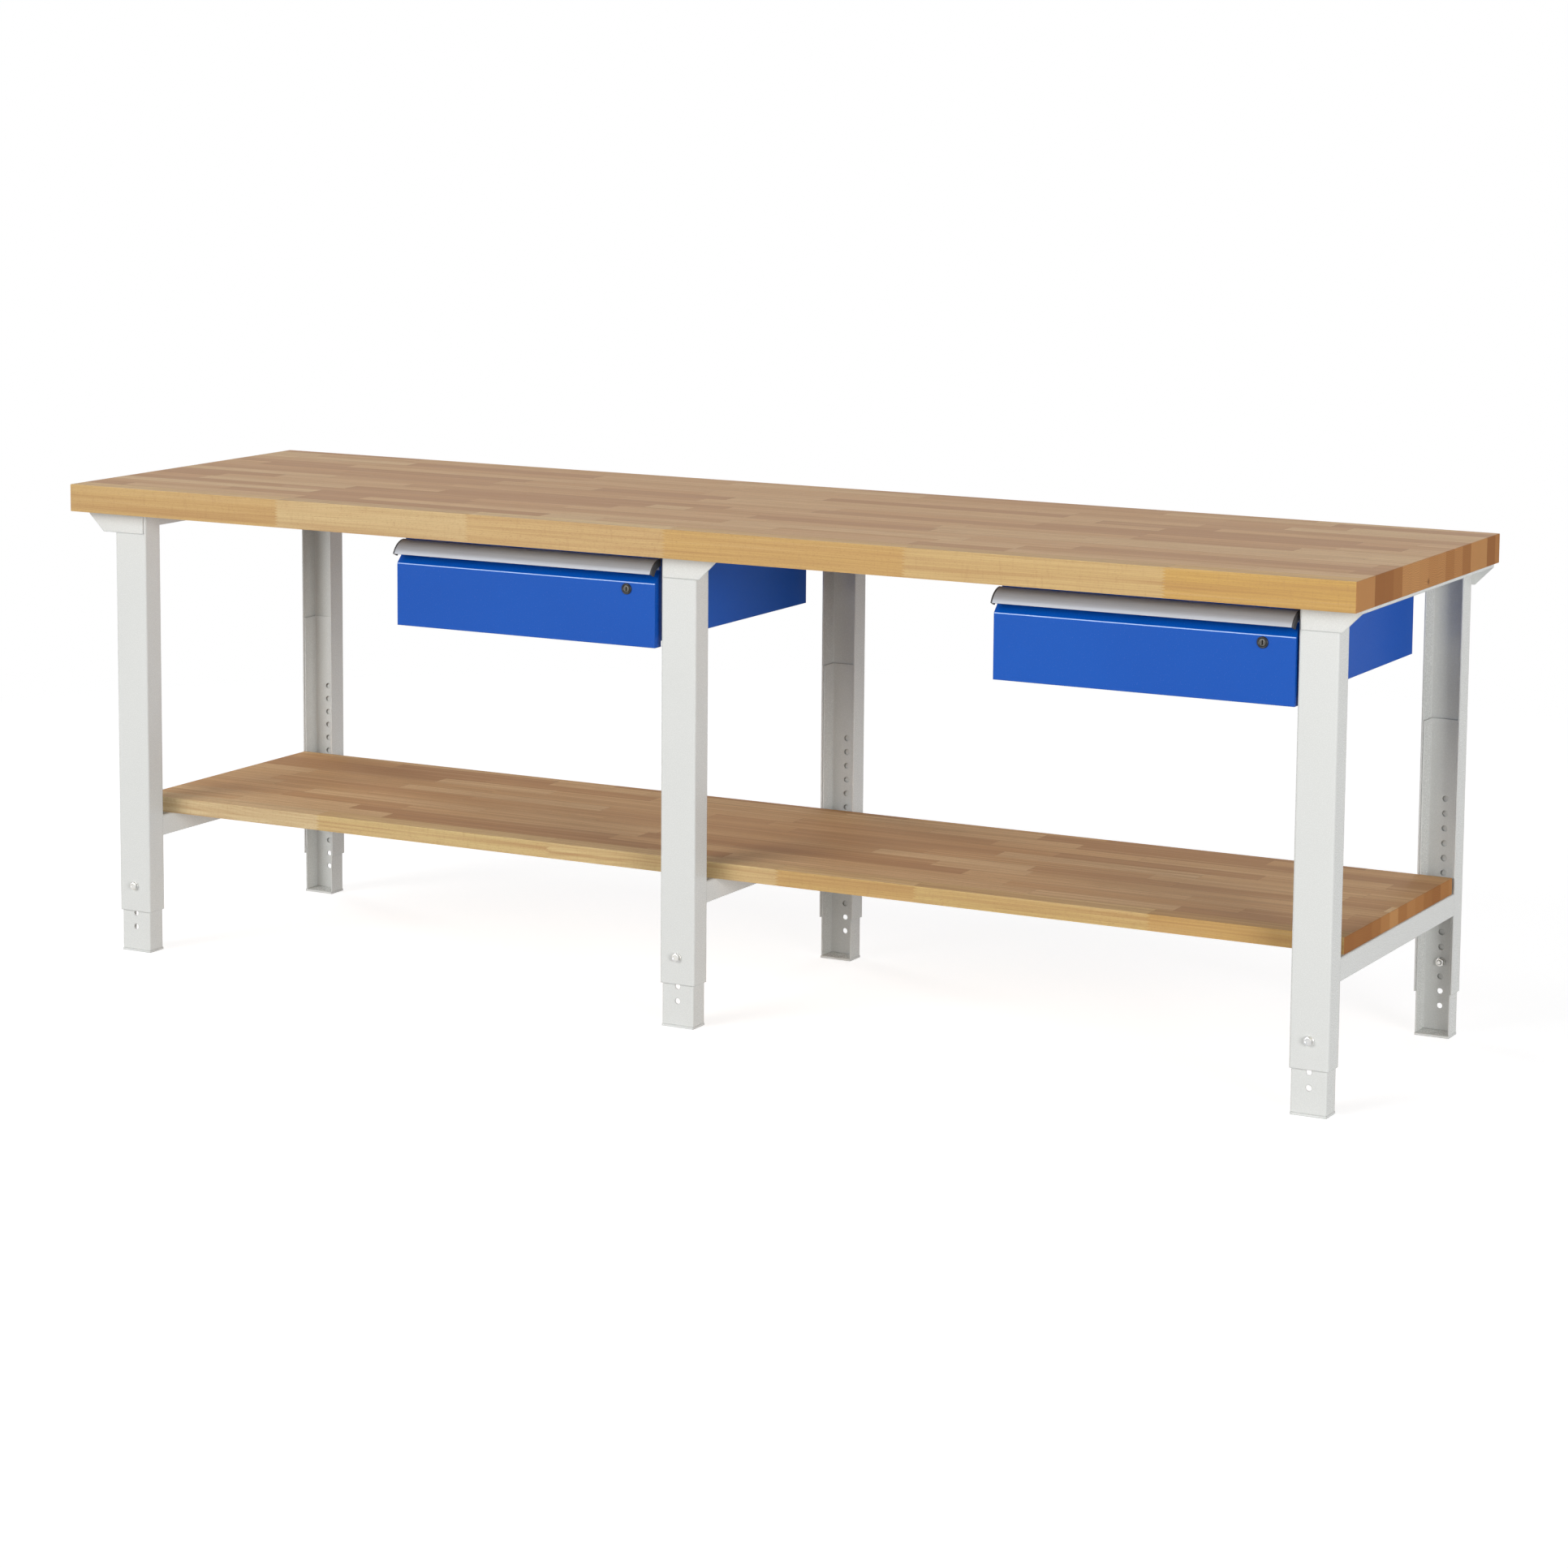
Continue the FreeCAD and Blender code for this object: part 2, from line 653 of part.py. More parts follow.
def height_fasteners():
    bolts, washers, nuts = [], [], []
    foot_inside = f"{FOOT_INSET} + Size.foot_wall"
    nut_washer = f"{foot_inside} + Size.nut_gap"
    nut_start = f"{nut_washer} + Size.washer_thickness"
    nut_stop = f"{nut_start} + Size.nut_height"
    head_start = "-Size.washer_thickness - Size.bolt_head_height"
    ring_bore = "Size.bolt_radius + Size.thread_gap"

    def ring(name, x, stretch, solid):
        """A washer or nut: a solid with the bolt's bore through it."""
        start, length = stretch
        bore = rod(f"{name}_bore", (x, start, BOLT_Z), ALONG_Y, ring_bore, length)
        return cut(name, solid, [bore])

    for side in SIDES:
        x = FRAME_X[side]
        for end in ENDS:
            tag = f"{side}_{end}"
            start, length = inward(end, head_start, "-Size.washer_thickness")
            head = hexagon(f"bolt_head_{tag}", (x, start, BOLT_Z), ALONG_Y, "Size.bolt_head_width", length)
            start, length = inward(end, "-Size.washer_thickness", f"{nut_stop} + Size.bolt_end")
            shank = rod(f"bolt_shank_{tag}", (x, start, BOLT_Z), ALONG_Y, "Size.bolt_radius", length)
            bolts.append(fuse(f"bolt_{tag}", [head, shank]))
            for layer, near in (("outer", "-Size.washer_thickness"), ("inner", nut_washer)):
                stretch = inward(end, near, f"{near} + Size.washer_thickness")
                name = f"washer_{layer}_{tag}"
                spot_y, thickness = stretch
                disc = rod(f"{name}_disc", (x, spot_y, BOLT_Z), ALONG_Y, "Size.washer_radius", thickness)
                washers.append(ring(name, x, stretch, disc))
            stretch = inward(end, nut_start, nut_stop)
            block = hexagon(f"nut_block_{tag}", (x, stretch[0], BOLT_Z), ALONG_Y, "Size.bolt_head_width",
                            stretch[1])
            nuts.append(ring(f"nut_{tag}", x, stretch, block))
    keep(group("bolts", bolts), "height_bolts")
    keep(group("washers", washers), "height_bolt_washers")
    keep(group("nuts", nuts), "height_bolt_nuts")


height_fasteners()

# Wood screws: head under the sheet, shank up through it into the board


def screws(label, spots, board_bottom, sheet_thickness, bite):
    pieces = []
    seat = f"{board_bottom} - {sheet_thickness}"
    for index, (x, y) in enumerate(spots):
        head = rod(f"{label}_head_{index}", (x, y, f"{seat} - Size.screw_head_height"), UPRIGHT,
                   "Size.screw_head_radius", "Size.screw_head_height")
        shank = rod(f"{label}_shank_{index}", (x, y, seat), UPRIGHT, "Size.screw_radius",
                    f"{sheet_thickness} + {bite}")
        pieces.append(fuse(f"{label}_{index}", [head, shank]))
    keep(group(f"{label}_set", pieces), label)


screws("worktop_screws", top_screw_spots(), UNDERSIDE, "Size.beam_sheet", "Size.top_screw_bite")
screws("shelf_screws", shelf_screw_spots(), SHELF_BOTTOM, "Size.rail_sheet", "Size.shelf_screw_bite")
screws("drawer_hanging_screws", house_screw_spots(), UNDERSIDE, "Size.drawer_sheet", "Size.top_screw_bite")

# Drawer housing: sheet box, open at the front and below, with a latch lip at the top of the mouth


def housing(side):
    name = f"drawer_{side}_housing"
    sheet_wall = "Size.drawer_sheet"
    x = f"({FRONT_X[side]} + Size.house_margin)"
    sides = (HOUSE_WIDTH, "Size.house_depth", HOUSE_HEIGHT)
    outer = box(f"{name}_outer", (x, HOUSE_Y, HOUSE_Z), sides)
    # the hollow runs out past the open front and the open bottom
    past = "Size.house_gap"
    hollow = box(
        f"{name}_hollow",
        (f"{x} + {sheet_wall}", f"{HOUSE_Y} - {past}", f"{HOUSE_Z} - {past}"),
        (
            HOUSE_INSIDE,
            f"Size.house_depth - {sheet_wall} + {past}",
            f"{HOUSE_HEIGHT} - {sheet_wall} + {past}",
        ),
    )
    shell = cut(f"{name}_shell", outer, [hollow])
    flange = ("Size.house_flange", "Size.house_depth", sheet_wall)
    left = box(f"{name}_flange_left", (x, HOUSE_Y, HOUSE_Z), flange)
    right_x = f"{x} + {HOUSE_WIDTH} - Size.house_flange"
    right = box(f"{name}_flange_right", (right_x, HOUSE_Y, HOUSE_Z), flange)
    lip = box(f"{name}_lip", (x, HOUSE_Y, f"{UNDERSIDE} - Size.latch_lip"),
              (HOUSE_WIDTH, sheet_wall, "Size.latch_lip"))
    folded = fuse(f"{name}_folded", [shell, left, right, lip])
    holes = [
        rod(f"{name}_hole_{index}", (spot_x, spot_y, f"{UNDERSIDE} - {sheet_wall}"), UPRIGHT,
            "Size.screw_radius + Size.screw_hole_gap", sheet_wall)
        for index, (spot_x, spot_y) in enumerate(house_screw_spots())
        if spot_x.startswith(FRONT_X[side])
    ]
    keep(cut(f"{name}_drilled", folded, holes), name)


# Telescopic rails: three nested channels on each side of the tray


def rails(side):
    wall = f"({FRONT_X[side]} + Size.house_margin + Size.drawer_sheet)"
    step = "(Size.slide_sheet + Size.slide_gap)"
    # name, distance of the back of the web from the wall, reach of the lips, steps in from the outer rail
    members = (
        ("outer", "0", "Size.slide_lip_outer", 0),
        ("middle", step, f"Size.slide_lip_middle - {step}", 1),
        ("inner", f"2 * {step}", f"Size.slide_thickness - 2 * {step}", 2),
    )
    for member, offset, depth, nesting in members:
        pair = []
        low = f"{SLIDE_Z} + {nesting} * {step}"
        height = f"Size.slide_height - {2 * nesting} * {step}"
        # the inner rail's web is on the tray's side, the others' on the wall's side
        web_at_wall = member != "inner"
        for hand in ("left", "right"):
            name = f"drawer_{side}_{member}_rail_{hand}"
            mirrored = hand == "right"
            near = f"{wall} + {HOUSE_INSIDE} - ({offset}) - ({depth})" if mirrored else f"{wall} + {offset}"
            web_low = web_at_wall != mirrored
            block = box(f"{name}_block", (near, SLIDE_Y, low), (depth, SLIDE_LENGTH, height))
            hollow_x = f"{near} + Size.slide_sheet" if web_low else near
            hollow = box(
                f"{name}_hollow",
                (hollow_x, SLIDE_Y, f"{low} + Size.slide_sheet"),
                (f"{depth} - Size.slide_sheet", SLIDE_LENGTH, f"{height} - 2 * Size.slide_sheet"),
            )
            pair.append(cut(name, block, [hollow]))
        keep(group(f"drawer_{side}_{member}_pair", pair), f"drawer_{side}_{member}_rails")


# Drawer tray: open sheet box, screwed to the flange of the front


def front_screw_spots(side):
    """X and Z of the screws between the tray and the front."""
    count = int(number("Size.front_screw_count"))
    left = f"{FRONT_X[side]} + Size.front_width / 2 - {TRAY_WIDTH} / 2 + Size.front_screw_inset"
    pitch = f"({TRAY_WIDTH} - 2 * Size.front_screw_inset) / {count - 1}"
    height = f"({TRAY_Z} + {FRONT_Z} + Size.front_flange) / 2"
    return [(f"{left} + {index} * {pitch}", height) for index in range(count)]


def tray(side):
    name = f"drawer_{side}_tray"
    wall = "Size.tray_sheet"
    x = f"({FRONT_X[side]} + Size.front_width / 2 - {TRAY_WIDTH} / 2)"
    block = box(f"{name}_block", (x, TRAY_Y, TRAY_Z), (TRAY_WIDTH, TRAY_DEPTH, TRAY_HEIGHT))
    hollow = box(
        f"{name}_hollow",
        (f"{x} + {wall}", f"{TRAY_Y} + {wall}", f"{TRAY_Z} + {wall}"),
        (f"{TRAY_WIDTH} - 2 * {wall}", f"{TRAY_DEPTH} - 2 * {wall}", TRAY_HEIGHT),
    )
    holes = [
        rod(f"{name}_hole_{index}", (spot_x, TRAY_Y, spot_z), ALONG_Y,
            "Size.front_screw_radius + Size.thread_gap", wall)
        for index, (spot_x, spot_z) in enumerate(front_screw_spots(side))
    ]
    keep(cut(f"{name}_open", block, [hollow] + holes), name)


# Drawer front: folded sheet with a slanted finger recess above the face and a flange for the tray


def front(side):
    body = new_body(f"drawer_{side}_front")
    wall = "Size.drawer_sheet"
    face = "Size.face_height"
    recess = "Size.recess_depth"
    deep = FRONT_DEPTH
    recess_top = f"{face} + {recess}"
    # the slope leans back at 45 degrees, so its back face lies lower by this much
    drop = f"{wall} * (sqrt(2) - 1)"
    section = [
        ("0", "0"),
        (deep, "0"),
        (deep, "Size.front_flange"),
        (recess, "Size.front_flange"),
        (recess, wall),
        (wall, wall),
        (wall, f"{face} - {drop}"),
        (deep, f"{recess_top} - {drop}"),
        (deep, FRONT_TOP),
        (recess, FRONT_TOP),
        (recess, recess_top),
        ("0", face),
    ]
    pad(body, "folded_sheet", "YZ_Plane", section, "0", "Size.front_width")
    end_plate = [
        ("0", "0"),
        (deep, "0"),
        (deep, FRONT_TOP),
        (recess, FRONT_TOP),
        (recess, recess_top),
        ("0", face),
    ]
    pad(body, "left_end", "YZ_Plane", end_plate, "0", wall)
    pad(body, "right_end", "YZ_Plane", end_plate, f"Size.front_width - {wall}", wall)
    round_off(body, "face_bend", "Size.face_bend", edge_test("X", [("0", face)]))
    lock = ("Size.front_width - Size.lock_inset", "Size.face_height - Size.lock_drop")
    drill(body, "lock_hole", "XZ_Plane", [lock], "Size.lock_body_radius + Size.lock_gap", "0", wall)
    screw_radius = "Size.front_screw_radius + Size.thread_gap"
    spots = [(f"{x} - {FRONT_X[side]}", f"{z} - {FRONT_Z}") for x, z in front_screw_spots(side)]
    drill(body, "screw_holes", "XZ_Plane", spots, screw_radius, recess, wall)
    place(body, (FRONT_X[side], FRONT_Y, FRONT_Z))


def front_screws(side):
    name = f"drawer_{side}_front_screws"
    pieces = []
    head_y = f"{TRAY_Y} + Size.tray_sheet"
    shank_y = f"{TRAY_Y} - Size.drawer_sheet - Size.front_screw_end"
    for index, (x, z) in enumerate(front_screw_spots(side)):
        head = rod(f"{name}_head_{index}", (x, head_y, z), ALONG_Y, "Size.front_screw_head",
                   "Size.front_screw_head_height")
        shank = rod(f"{name}_shank_{index}", (x, shank_y, z), ALONG_Y, "Size.front_screw_radius",
                    f"{head_y} - ({shank_y})")
        pieces.append(fuse(f"{name}_{index}", [head, shank]))
    keep(group(f"{name}_set", pieces), name)


# Grip: curved aluminium strip over the recess, hooked on the top of the front, with plastic end caps

GRIP_Y = f"({FRONT_Y} + Size.recess_depth + Size.grip_offset)"
GRIP_Z = f"({GRIP_TOP} - Size.grip_radius)"


def grip_band(name, x, thickness, length):
    """A strip bent round the grip's axis, from straight up towards the front."""
    spot = (x, GRIP_Y, GRIP_Z)
    sector = rod(f"{name}_sector", spot, OVER_THE_FRONT, "Size.grip_radius", length)
    sector.setExpression("Angle", "Size.grip_sweep")
    core = rod(f"{name}_core", spot, OVER_THE_FRONT, f"Size.grip_radius - {thickness}", length)
    return cut(name, sector, [core])


def grip(side):
    name = f"drawer_{side}_grip"
    x = f"{FRONT_X[side]} + Size.cap_thickness"
    length = "Size.front_width - 2 * Size.cap_thickness"
    strip = grip_band(f"{name}_strip", x, "Size.grip_sheet", length)
    wall_face = f"{FRONT_Y} + Size.recess_depth"
    low = f"{FRONT_Z} + Size.face_height + Size.recess_depth + Size.grip_web_clear"
    web_height = f"{GRIP_TOP} - Size.grip_sheet + Size.grip_seat - ({low})"
    web_y = f"{wall_face} - Size.grip_sheet"
    web = box(f"{name}_web", (x, web_y, low), (length, "Size.grip_sheet", web_height))
    keep(fuse(f"{name}_profile", [strip, web]), name)


def grip_caps(side):
    name = f"drawer_{side}_grip_caps"
    pieces = []
    for hand, shift in (("left", "0"), ("right", "Size.front_width - Size.cap_thickness")):
        x = f"{FRONT_X[side]} + {shift}"
        band = grip_band(f"{name}_band_{hand}", x, "Size.cap_band", "Size.cap_thickness")
        # the cap stops at the front's upper wall
        wall = box(
            f"{name}_wall_{hand}",
            (x, f"{FRONT_Y} + Size.recess_depth", GRIP_Z),
            ("Size.cap_thickness", FRONT_DEPTH, "2 * Size.grip_radius"),
        )
        pieces.append(cut(f"{name}_{hand}", band, [wall]))
    keep(group(f"{name}_pair", pieces), name)


# Lock: barrel held in the face by a nut, and a plug that turns the cam behind the latch lip


def lock(side):
    tag = f"drawer_{side}_lock"
    x = f"({FRONT_X[side]} + Size.front_width - Size.lock_inset)"
    head_y = f"({FRONT_Y} - Size.lock_head_thickness)"
    barrel_end = f"({FRONT_Y} + Size.lock_body_length)"
    cam_y = f"({barrel_end} + Size.cam_gap)"
    bore_radius = "Size.plug_radius + Size.plug_gap"
    rim = "Size.lock_head_thickness"
    reach = "Size.lock_body_length"

    head = rod(f"{tag}_head", (x, head_y, LOCK_Z), ALONG_Y, "Size.lock_head_radius", rim)
    tube = rod(f"{tag}_tube", (x, FRONT_Y, LOCK_Z), ALONG_Y, "Size.lock_body_radius", reach)
    bore = rod(f"{tag}_bore", (x, head_y, LOCK_Z), ALONG_Y, bore_radius, f"{rim} + {reach}")
    keep(cut(f"{tag}_sleeve", fuse(f"{tag}_turned", [head, tube]), [bore]), f"{tag}_barrel")

    nut_spot = (x, f"{FRONT_Y} + Size.drawer_sheet", LOCK_Z)
    nut_height = "Size.lock_nut_height"
    nut_radius = "Size.lock_body_radius + Size.thread_gap"
    hexagonal = hexagon(f"{tag}_hex", nut_spot, ALONG_Y, "Size.lock_nut_width", nut_height)
    nut_bore = rod(f"{tag}_nut_bore", nut_spot, ALONG_Y, nut_radius, nut_height)
    keep(cut(f"{tag}_ring", hexagonal, [nut_bore]), f"{tag}_nut")

    plug_y = f"{head_y} + Size.plug_sink"
    core = rod(f"{tag}_core", (x, plug_y, LOCK_Z), ALONG_Y, "Size.plug_radius", f"{cam_y} - ({plug_y})")
    slot = box(
        f"{tag}_key_slot",
        (f"{x} - Size.key_slot_width / 2", plug_y, f"{LOCK_Z} - Size.key_slot_height / 2"),
        ("Size.key_slot_width", "Size.key_slot_depth", "Size.key_slot_height"),
    )
    keep(cut(f"{tag}_core_slotted", core, [slot]), f"{tag}_plug")

    half = "Size.cam_width / 2"
    boss = rod(f"{tag}_cam_boss", (x, cam_y, LOCK_Z), ALONG_Y, half, "Size.cam_thickness")
    arm = box(f"{tag}_cam_arm", (f"{x} - Size.cam_length", cam_y, f"{LOCK_Z} - {half}"),
              ("Size.cam_length", "Size.cam_thickness", "Size.cam_width"))
    keep(fuse(f"{tag}_cam_plate", [boss, arm]), f"{tag}_cam")


for side in DRAWERS:
    housing(side)
    rails(side)
    tray(side)
    front(side)
    front_screws(side)
    grip(side)
    grip_caps(side)
    lock(side)

doc.recompute()

# Every object has to be sound before anything is written
for item in doc.Objects:
    if "Invalid" in item.State or "Error" in item.State:
        raise RuntimeError(f"{item.Name} ({item.Label}) failed: {item.State}")
for piece in nodes:
    if piece.Shape.isNull() or not piece.Shape.isValid():
        raise RuntimeError(f"{piece.Label} has no valid shape")

os.makedirs("parts", exist_ok=True)
for piece in nodes:
    piece.Shape.exportStep(os.path.join("parts", f"{piece.Label}.step"))
print(f"{len(nodes)} nodes written")
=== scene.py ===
"""The workbench dressed for rendering: materials, detailed fasteners, studio and camera."""

import json
import math

import bmesh
import bpy
from mathutils import Matrix, Vector

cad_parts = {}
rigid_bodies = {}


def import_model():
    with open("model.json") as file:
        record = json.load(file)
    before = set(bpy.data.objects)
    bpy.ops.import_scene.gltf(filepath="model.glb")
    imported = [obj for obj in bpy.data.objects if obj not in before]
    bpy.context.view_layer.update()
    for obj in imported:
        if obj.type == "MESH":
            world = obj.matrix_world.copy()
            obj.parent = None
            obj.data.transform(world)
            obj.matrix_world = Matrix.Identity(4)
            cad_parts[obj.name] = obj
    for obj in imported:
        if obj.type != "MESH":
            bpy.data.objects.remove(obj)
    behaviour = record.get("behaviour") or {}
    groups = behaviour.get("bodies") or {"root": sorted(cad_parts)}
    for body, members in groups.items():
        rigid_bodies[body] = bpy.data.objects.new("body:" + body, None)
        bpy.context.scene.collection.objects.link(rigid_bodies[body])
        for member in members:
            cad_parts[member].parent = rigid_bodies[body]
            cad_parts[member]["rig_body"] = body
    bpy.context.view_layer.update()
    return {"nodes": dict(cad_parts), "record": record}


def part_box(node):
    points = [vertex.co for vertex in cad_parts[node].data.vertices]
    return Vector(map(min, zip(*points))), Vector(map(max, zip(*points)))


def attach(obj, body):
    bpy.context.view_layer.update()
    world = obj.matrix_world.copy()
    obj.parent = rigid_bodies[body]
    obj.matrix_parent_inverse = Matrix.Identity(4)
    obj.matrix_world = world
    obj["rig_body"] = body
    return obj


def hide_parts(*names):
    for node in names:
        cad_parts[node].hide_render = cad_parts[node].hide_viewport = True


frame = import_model()
nodes = frame["nodes"]
slot_of = {part["node"]: part["material_slot"] for part in frame["record"]["subparts"]}

# The sockets that a Mix node uses for colours
MIX_SHARE, MIX_FIRST, MIX_SECOND, MIX_RESULT = 0, 6, 7, 2


class Shader:
    """A node tree made step by step; each step gives back an output socket."""

    def __init__(self, tree):
        self.tree = tree
        self.tree.nodes.clear()

    def add(self, kind, **settings):
        node = self.tree.nodes.new(kind)
        for key, value in settings.items():
            setattr(node, key, value)
        return node

    def join(self, value, socket):
        """Give a socket a link or a constant; a constant colour is three numbers."""
        if isinstance(value, bpy.types.NodeSocket):
            self.tree.links.new(value, socket)
        elif socket.type == "RGBA":
            socket.default_value = (*value, 1.0)
        else:
            socket.default_value = value

    def feed(self, node, *values):
        """Join values to a node's first sockets, in order."""
        for value, socket in zip(values, node.inputs):
            self.join(value, socket)
        return node.outputs[0]

    def math(self, operation, first, second=0.0, third=0.0):
        return self.feed(self.add("ShaderNodeMath", operation=operation), first, second, third)

    def span(self, value, low, high, to_low, to_high):
        """Turn one range of values into another; outside it the ends hold."""
        return self.feed(self.add("ShaderNodeMapRange"), value, low, high, to_low, to_high)

    def mixed(self, share, first, second):
        return self.feed(self.add("ShaderNodeMixShader"), share, first, second)

    def shown(self, shaded, bright):
        """One shader for lighting, another for camera, glossy and transmission rays."""
        path = self.add("ShaderNodeLightPath")
        seen = self.math("MAXIMUM", path.outputs["Is Camera Ray"], path.outputs["Is Glossy Ray"])
        seen = self.math("MAXIMUM", seen, path.outputs["Is Transmission Ray"])
        return self.mixed(seen, shaded, bright)


class Finish(Shader):
    """A material with one Principled surface, textured in the object's own coordinates."""

    def __init__(self, name):
        self.material = bpy.data.materials.new(name)
        self.material.use_nodes = True
        super().__init__(self.material.node_tree)
        self.surface = self.add("ShaderNodeBsdfPrincipled")
        output = self.add("ShaderNodeOutputMaterial")
        self.join(self.surface.outputs["BSDF"], output.inputs["Surface"])
        coordinates = self.add("ShaderNodeTexCoord")
        self.place = coordinates.outputs["Object"]
        self.facing = coordinates.outputs["Normal"]

    def set(self, **values):
        """Give sockets of the surface a constant or a link, by name with _ for a space."""
        for key, value in values.items():
            self.join(value, self.surface.inputs[key.replace("_", " ")])

    def centred(self, value, width):
        """Turn 0 to 1 into a range of this width about zero."""
        return self.math("MULTIPLY", self.math("SUBTRACT", value, 0.5), width)

    def apart(self, first, second):
        """The distance between two values."""
        return self.math("ABSOLUTE", self.math("SUBTRACT", first, second))

    def reach(self, first, second):
        """The distance from an axis, given along two directions across it."""
        squares = [self.math("MULTIPLY", value, value) for value in (first, second)]
        return self.math("SQRT", self.math("ADD", *squares))

    def choose(self, flag, yes, no):
        """One value where the flag is 1, the other where it is 0."""
        return self.math("ADD", self.math("MULTIPLY", flag, self.math("SUBTRACT", yes, no)), no)

    def parts(self, vector):
        node = self.add("ShaderNodeSeparateXYZ")
        self.feed(node, vector)
        return tuple(node.outputs)

    def point(self, x, y, z):
        return self.feed(self.add("ShaderNodeCombineXYZ"), x, y, z)

    def stretch(self, place, factors):
        return self.feed(self.add("ShaderNodeVectorMath", operation="MULTIPLY"), place, factors)

    def noise(self, place, scale=1.0, detail=2.0, roughness=0.5):
        node = self.add("ShaderNodeTexNoise")
        self.join(place, node.inputs["Vector"])
        node.inputs["Scale"].default_value = scale
        node.inputs["Detail"].default_value = detail
        node.inputs["Roughness"].default_value = roughness
        return node.outputs[0]

    def split(self, colour):
        node = self.add("ShaderNodeSeparateColor")
        self.feed(node, colour)
        return tuple(node.outputs)

    def chance(self, x, y, z):
        """Three random numbers that stay the same for the same three inputs."""
        node = self.add("ShaderNodeTexWhiteNoise")
        self.join(self.point(x, y, z), node.inputs["Vector"])
        return self.split(node.outputs["Color"])

    def blend(self, share, first, second):
        """Mix two colours."""
        node = self.add("ShaderNodeMix", data_type="RGBA")
        for value, place in ((share, MIX_SHARE), (first, MIX_FIRST), (second, MIX_SECOND)):
            self.join(value, node.inputs[place])
        return node.outputs[MIX_RESULT]

    def ramp(self, value, stops, steps=False):
        node = self.add("ShaderNodeValToRGB")
        band = node.color_ramp
        band.interpolation = "CONSTANT" if steps else "LINEAR"
        while len(band.elements) < len(stops):
            band.elements.new(1.0)
        for element, (position, colour) in zip(band.elements, stops):
            element.position = position
            element.color = (*colour, 1.0)
        return self.feed(node, value)

    def rounded(self, radius):
        """Soften the shading over edges, as thick paint does."""
        node = self.add("ShaderNodeBevel", samples=4)
        node.inputs["Radius"].default_value = radius
        return node.outputs[0]

    def bump(self, height, strength, distance, normal=None):
        node = self.add("ShaderNodeBump")
        if normal is not None:
            self.join(normal, node.inputs["Normal"])
        node.inputs["Strength"].default_value = strength
        node.inputs["Distance"].default_value = distance
        self.join(height, node.inputs["Height"])
        self.join(node.outputs[0], self.surface.inputs["Normal"])


# Beech staves and the finger joints between them, in metres
STAVE_WIDTH = 0.0422
STAVE_LENGTH = 0.38
FINGER_HALF_PITCH = 0.0025
SEAM_CORE, SEAM_EDGE = 0.00015, 0.00055
# How far a finger reaches along X for each metre across it
FINGER_SLOPE = 3.2
# In stave lengths: the most a row is shifted, and the range in which a joint strays
ROW_SHIFT = 7.3
JOINT_DRIFT = 0.84

# Year rings, in metres; the lean of the pith is sideways for each metre along X
RING_PITCH = 0.0031
RING_WOBBLE = 0.016
PITH_SPREAD = 0.09
PITH_NEAREST, PITH_DEPTH = 0.012, 0.10
LEAN = 0.07
# How far the grain of a stave may be moved along each axis, so that no two are alike
GRAIN_SHIFTS = (31.0, 17.0, 13.0)

# Colours over a stave's own tint
RING_BROWN = (0.46, 0.25, 0.10)
FIBRE_BROWN = (0.50, 0.285, 0.13)
BROAD_BROWN = (0.56, 0.315, 0.14)
STREAK_DARK = (0.44, 0.225, 0.095)
STREAK_PALE = (0.86, 0.62, 0.34)
FLECK_DARK = (0.30, 0.145, 0.06)
RAY_BROWN = (0.47, 0.27, 0.12)
GLUE_LINE = (0.24, 0.115, 0.05)

# End grain, and the place and radii of a knot in the worktop's end
END_HUES = ((0.57, 0.295, 0.112), (0.46, 0.212, 0.072), (0.32, 0.132, 0.042))
END_RING = (0.22, 0.085, 0.034)
END_PORE = (0.16, 0.062, 0.026)
KNOT_DARK = (0.10, 0.038, 0.018)
KNOT_Y, KNOT_Z = -0.013, 0.832
KNOT_CORE, KNOT_RIM = 0.003, 0.009

# Where the hues of a board lie between the least and the greatest chance
HUE_STOPS = (0.0, 0.28, 0.60, 0.90)
# Each board: the joints of its front row along X, the tints of that row, the hues of the other staves; the
# shelf's tints hold painted light.
BOARDS = {
    "worktop": {
        "name": "beech_top",
        "joints": (-0.786, -0.384, 0.012, 0.467, 0.930),
        "tints": (
            (0.83, 0.60, 0.25), (0.91, 0.74, 0.39), (0.865, 0.655, 0.31),
            (0.815, 0.56, 0.20), (0.89, 0.69, 0.31), (0.83, 0.545, 0.145)),
        "hues": ((0.83, 0.590, 0.325), (0.745, 0.478, 0.243), (0.65, 0.377, 0.180), (0.505, 0.262, 0.120)),
        "contrast": 1.0,
        "rough": 0.52,
        "seed": 2.0,
    },
    "shelf": {
        "name": "beech_shelf",
        "joints": (-0.770, -0.278, 0.182, 0.446, 0.873),
        # Partly painted light: raised to lift the shade under the worktop, the first stave most, against the
        # front leg's shadow.
        "tints": (
            (0.96, 0.84, 0.50), (0.88, 0.72, 0.34), (0.90, 0.74, 0.37),
            (0.79, 0.565, 0.21), (0.88, 0.70, 0.285), (0.75, 0.50, 0.17)),
        "hues": ((0.82, 0.555, 0.285), (0.73, 0.445, 0.205), (0.63, 0.345, 0.145), (0.47, 0.230, 0.090)),
        "contrast": 1.35,
        "rough": 0.66,
        "seed": 5.0,
    },
}


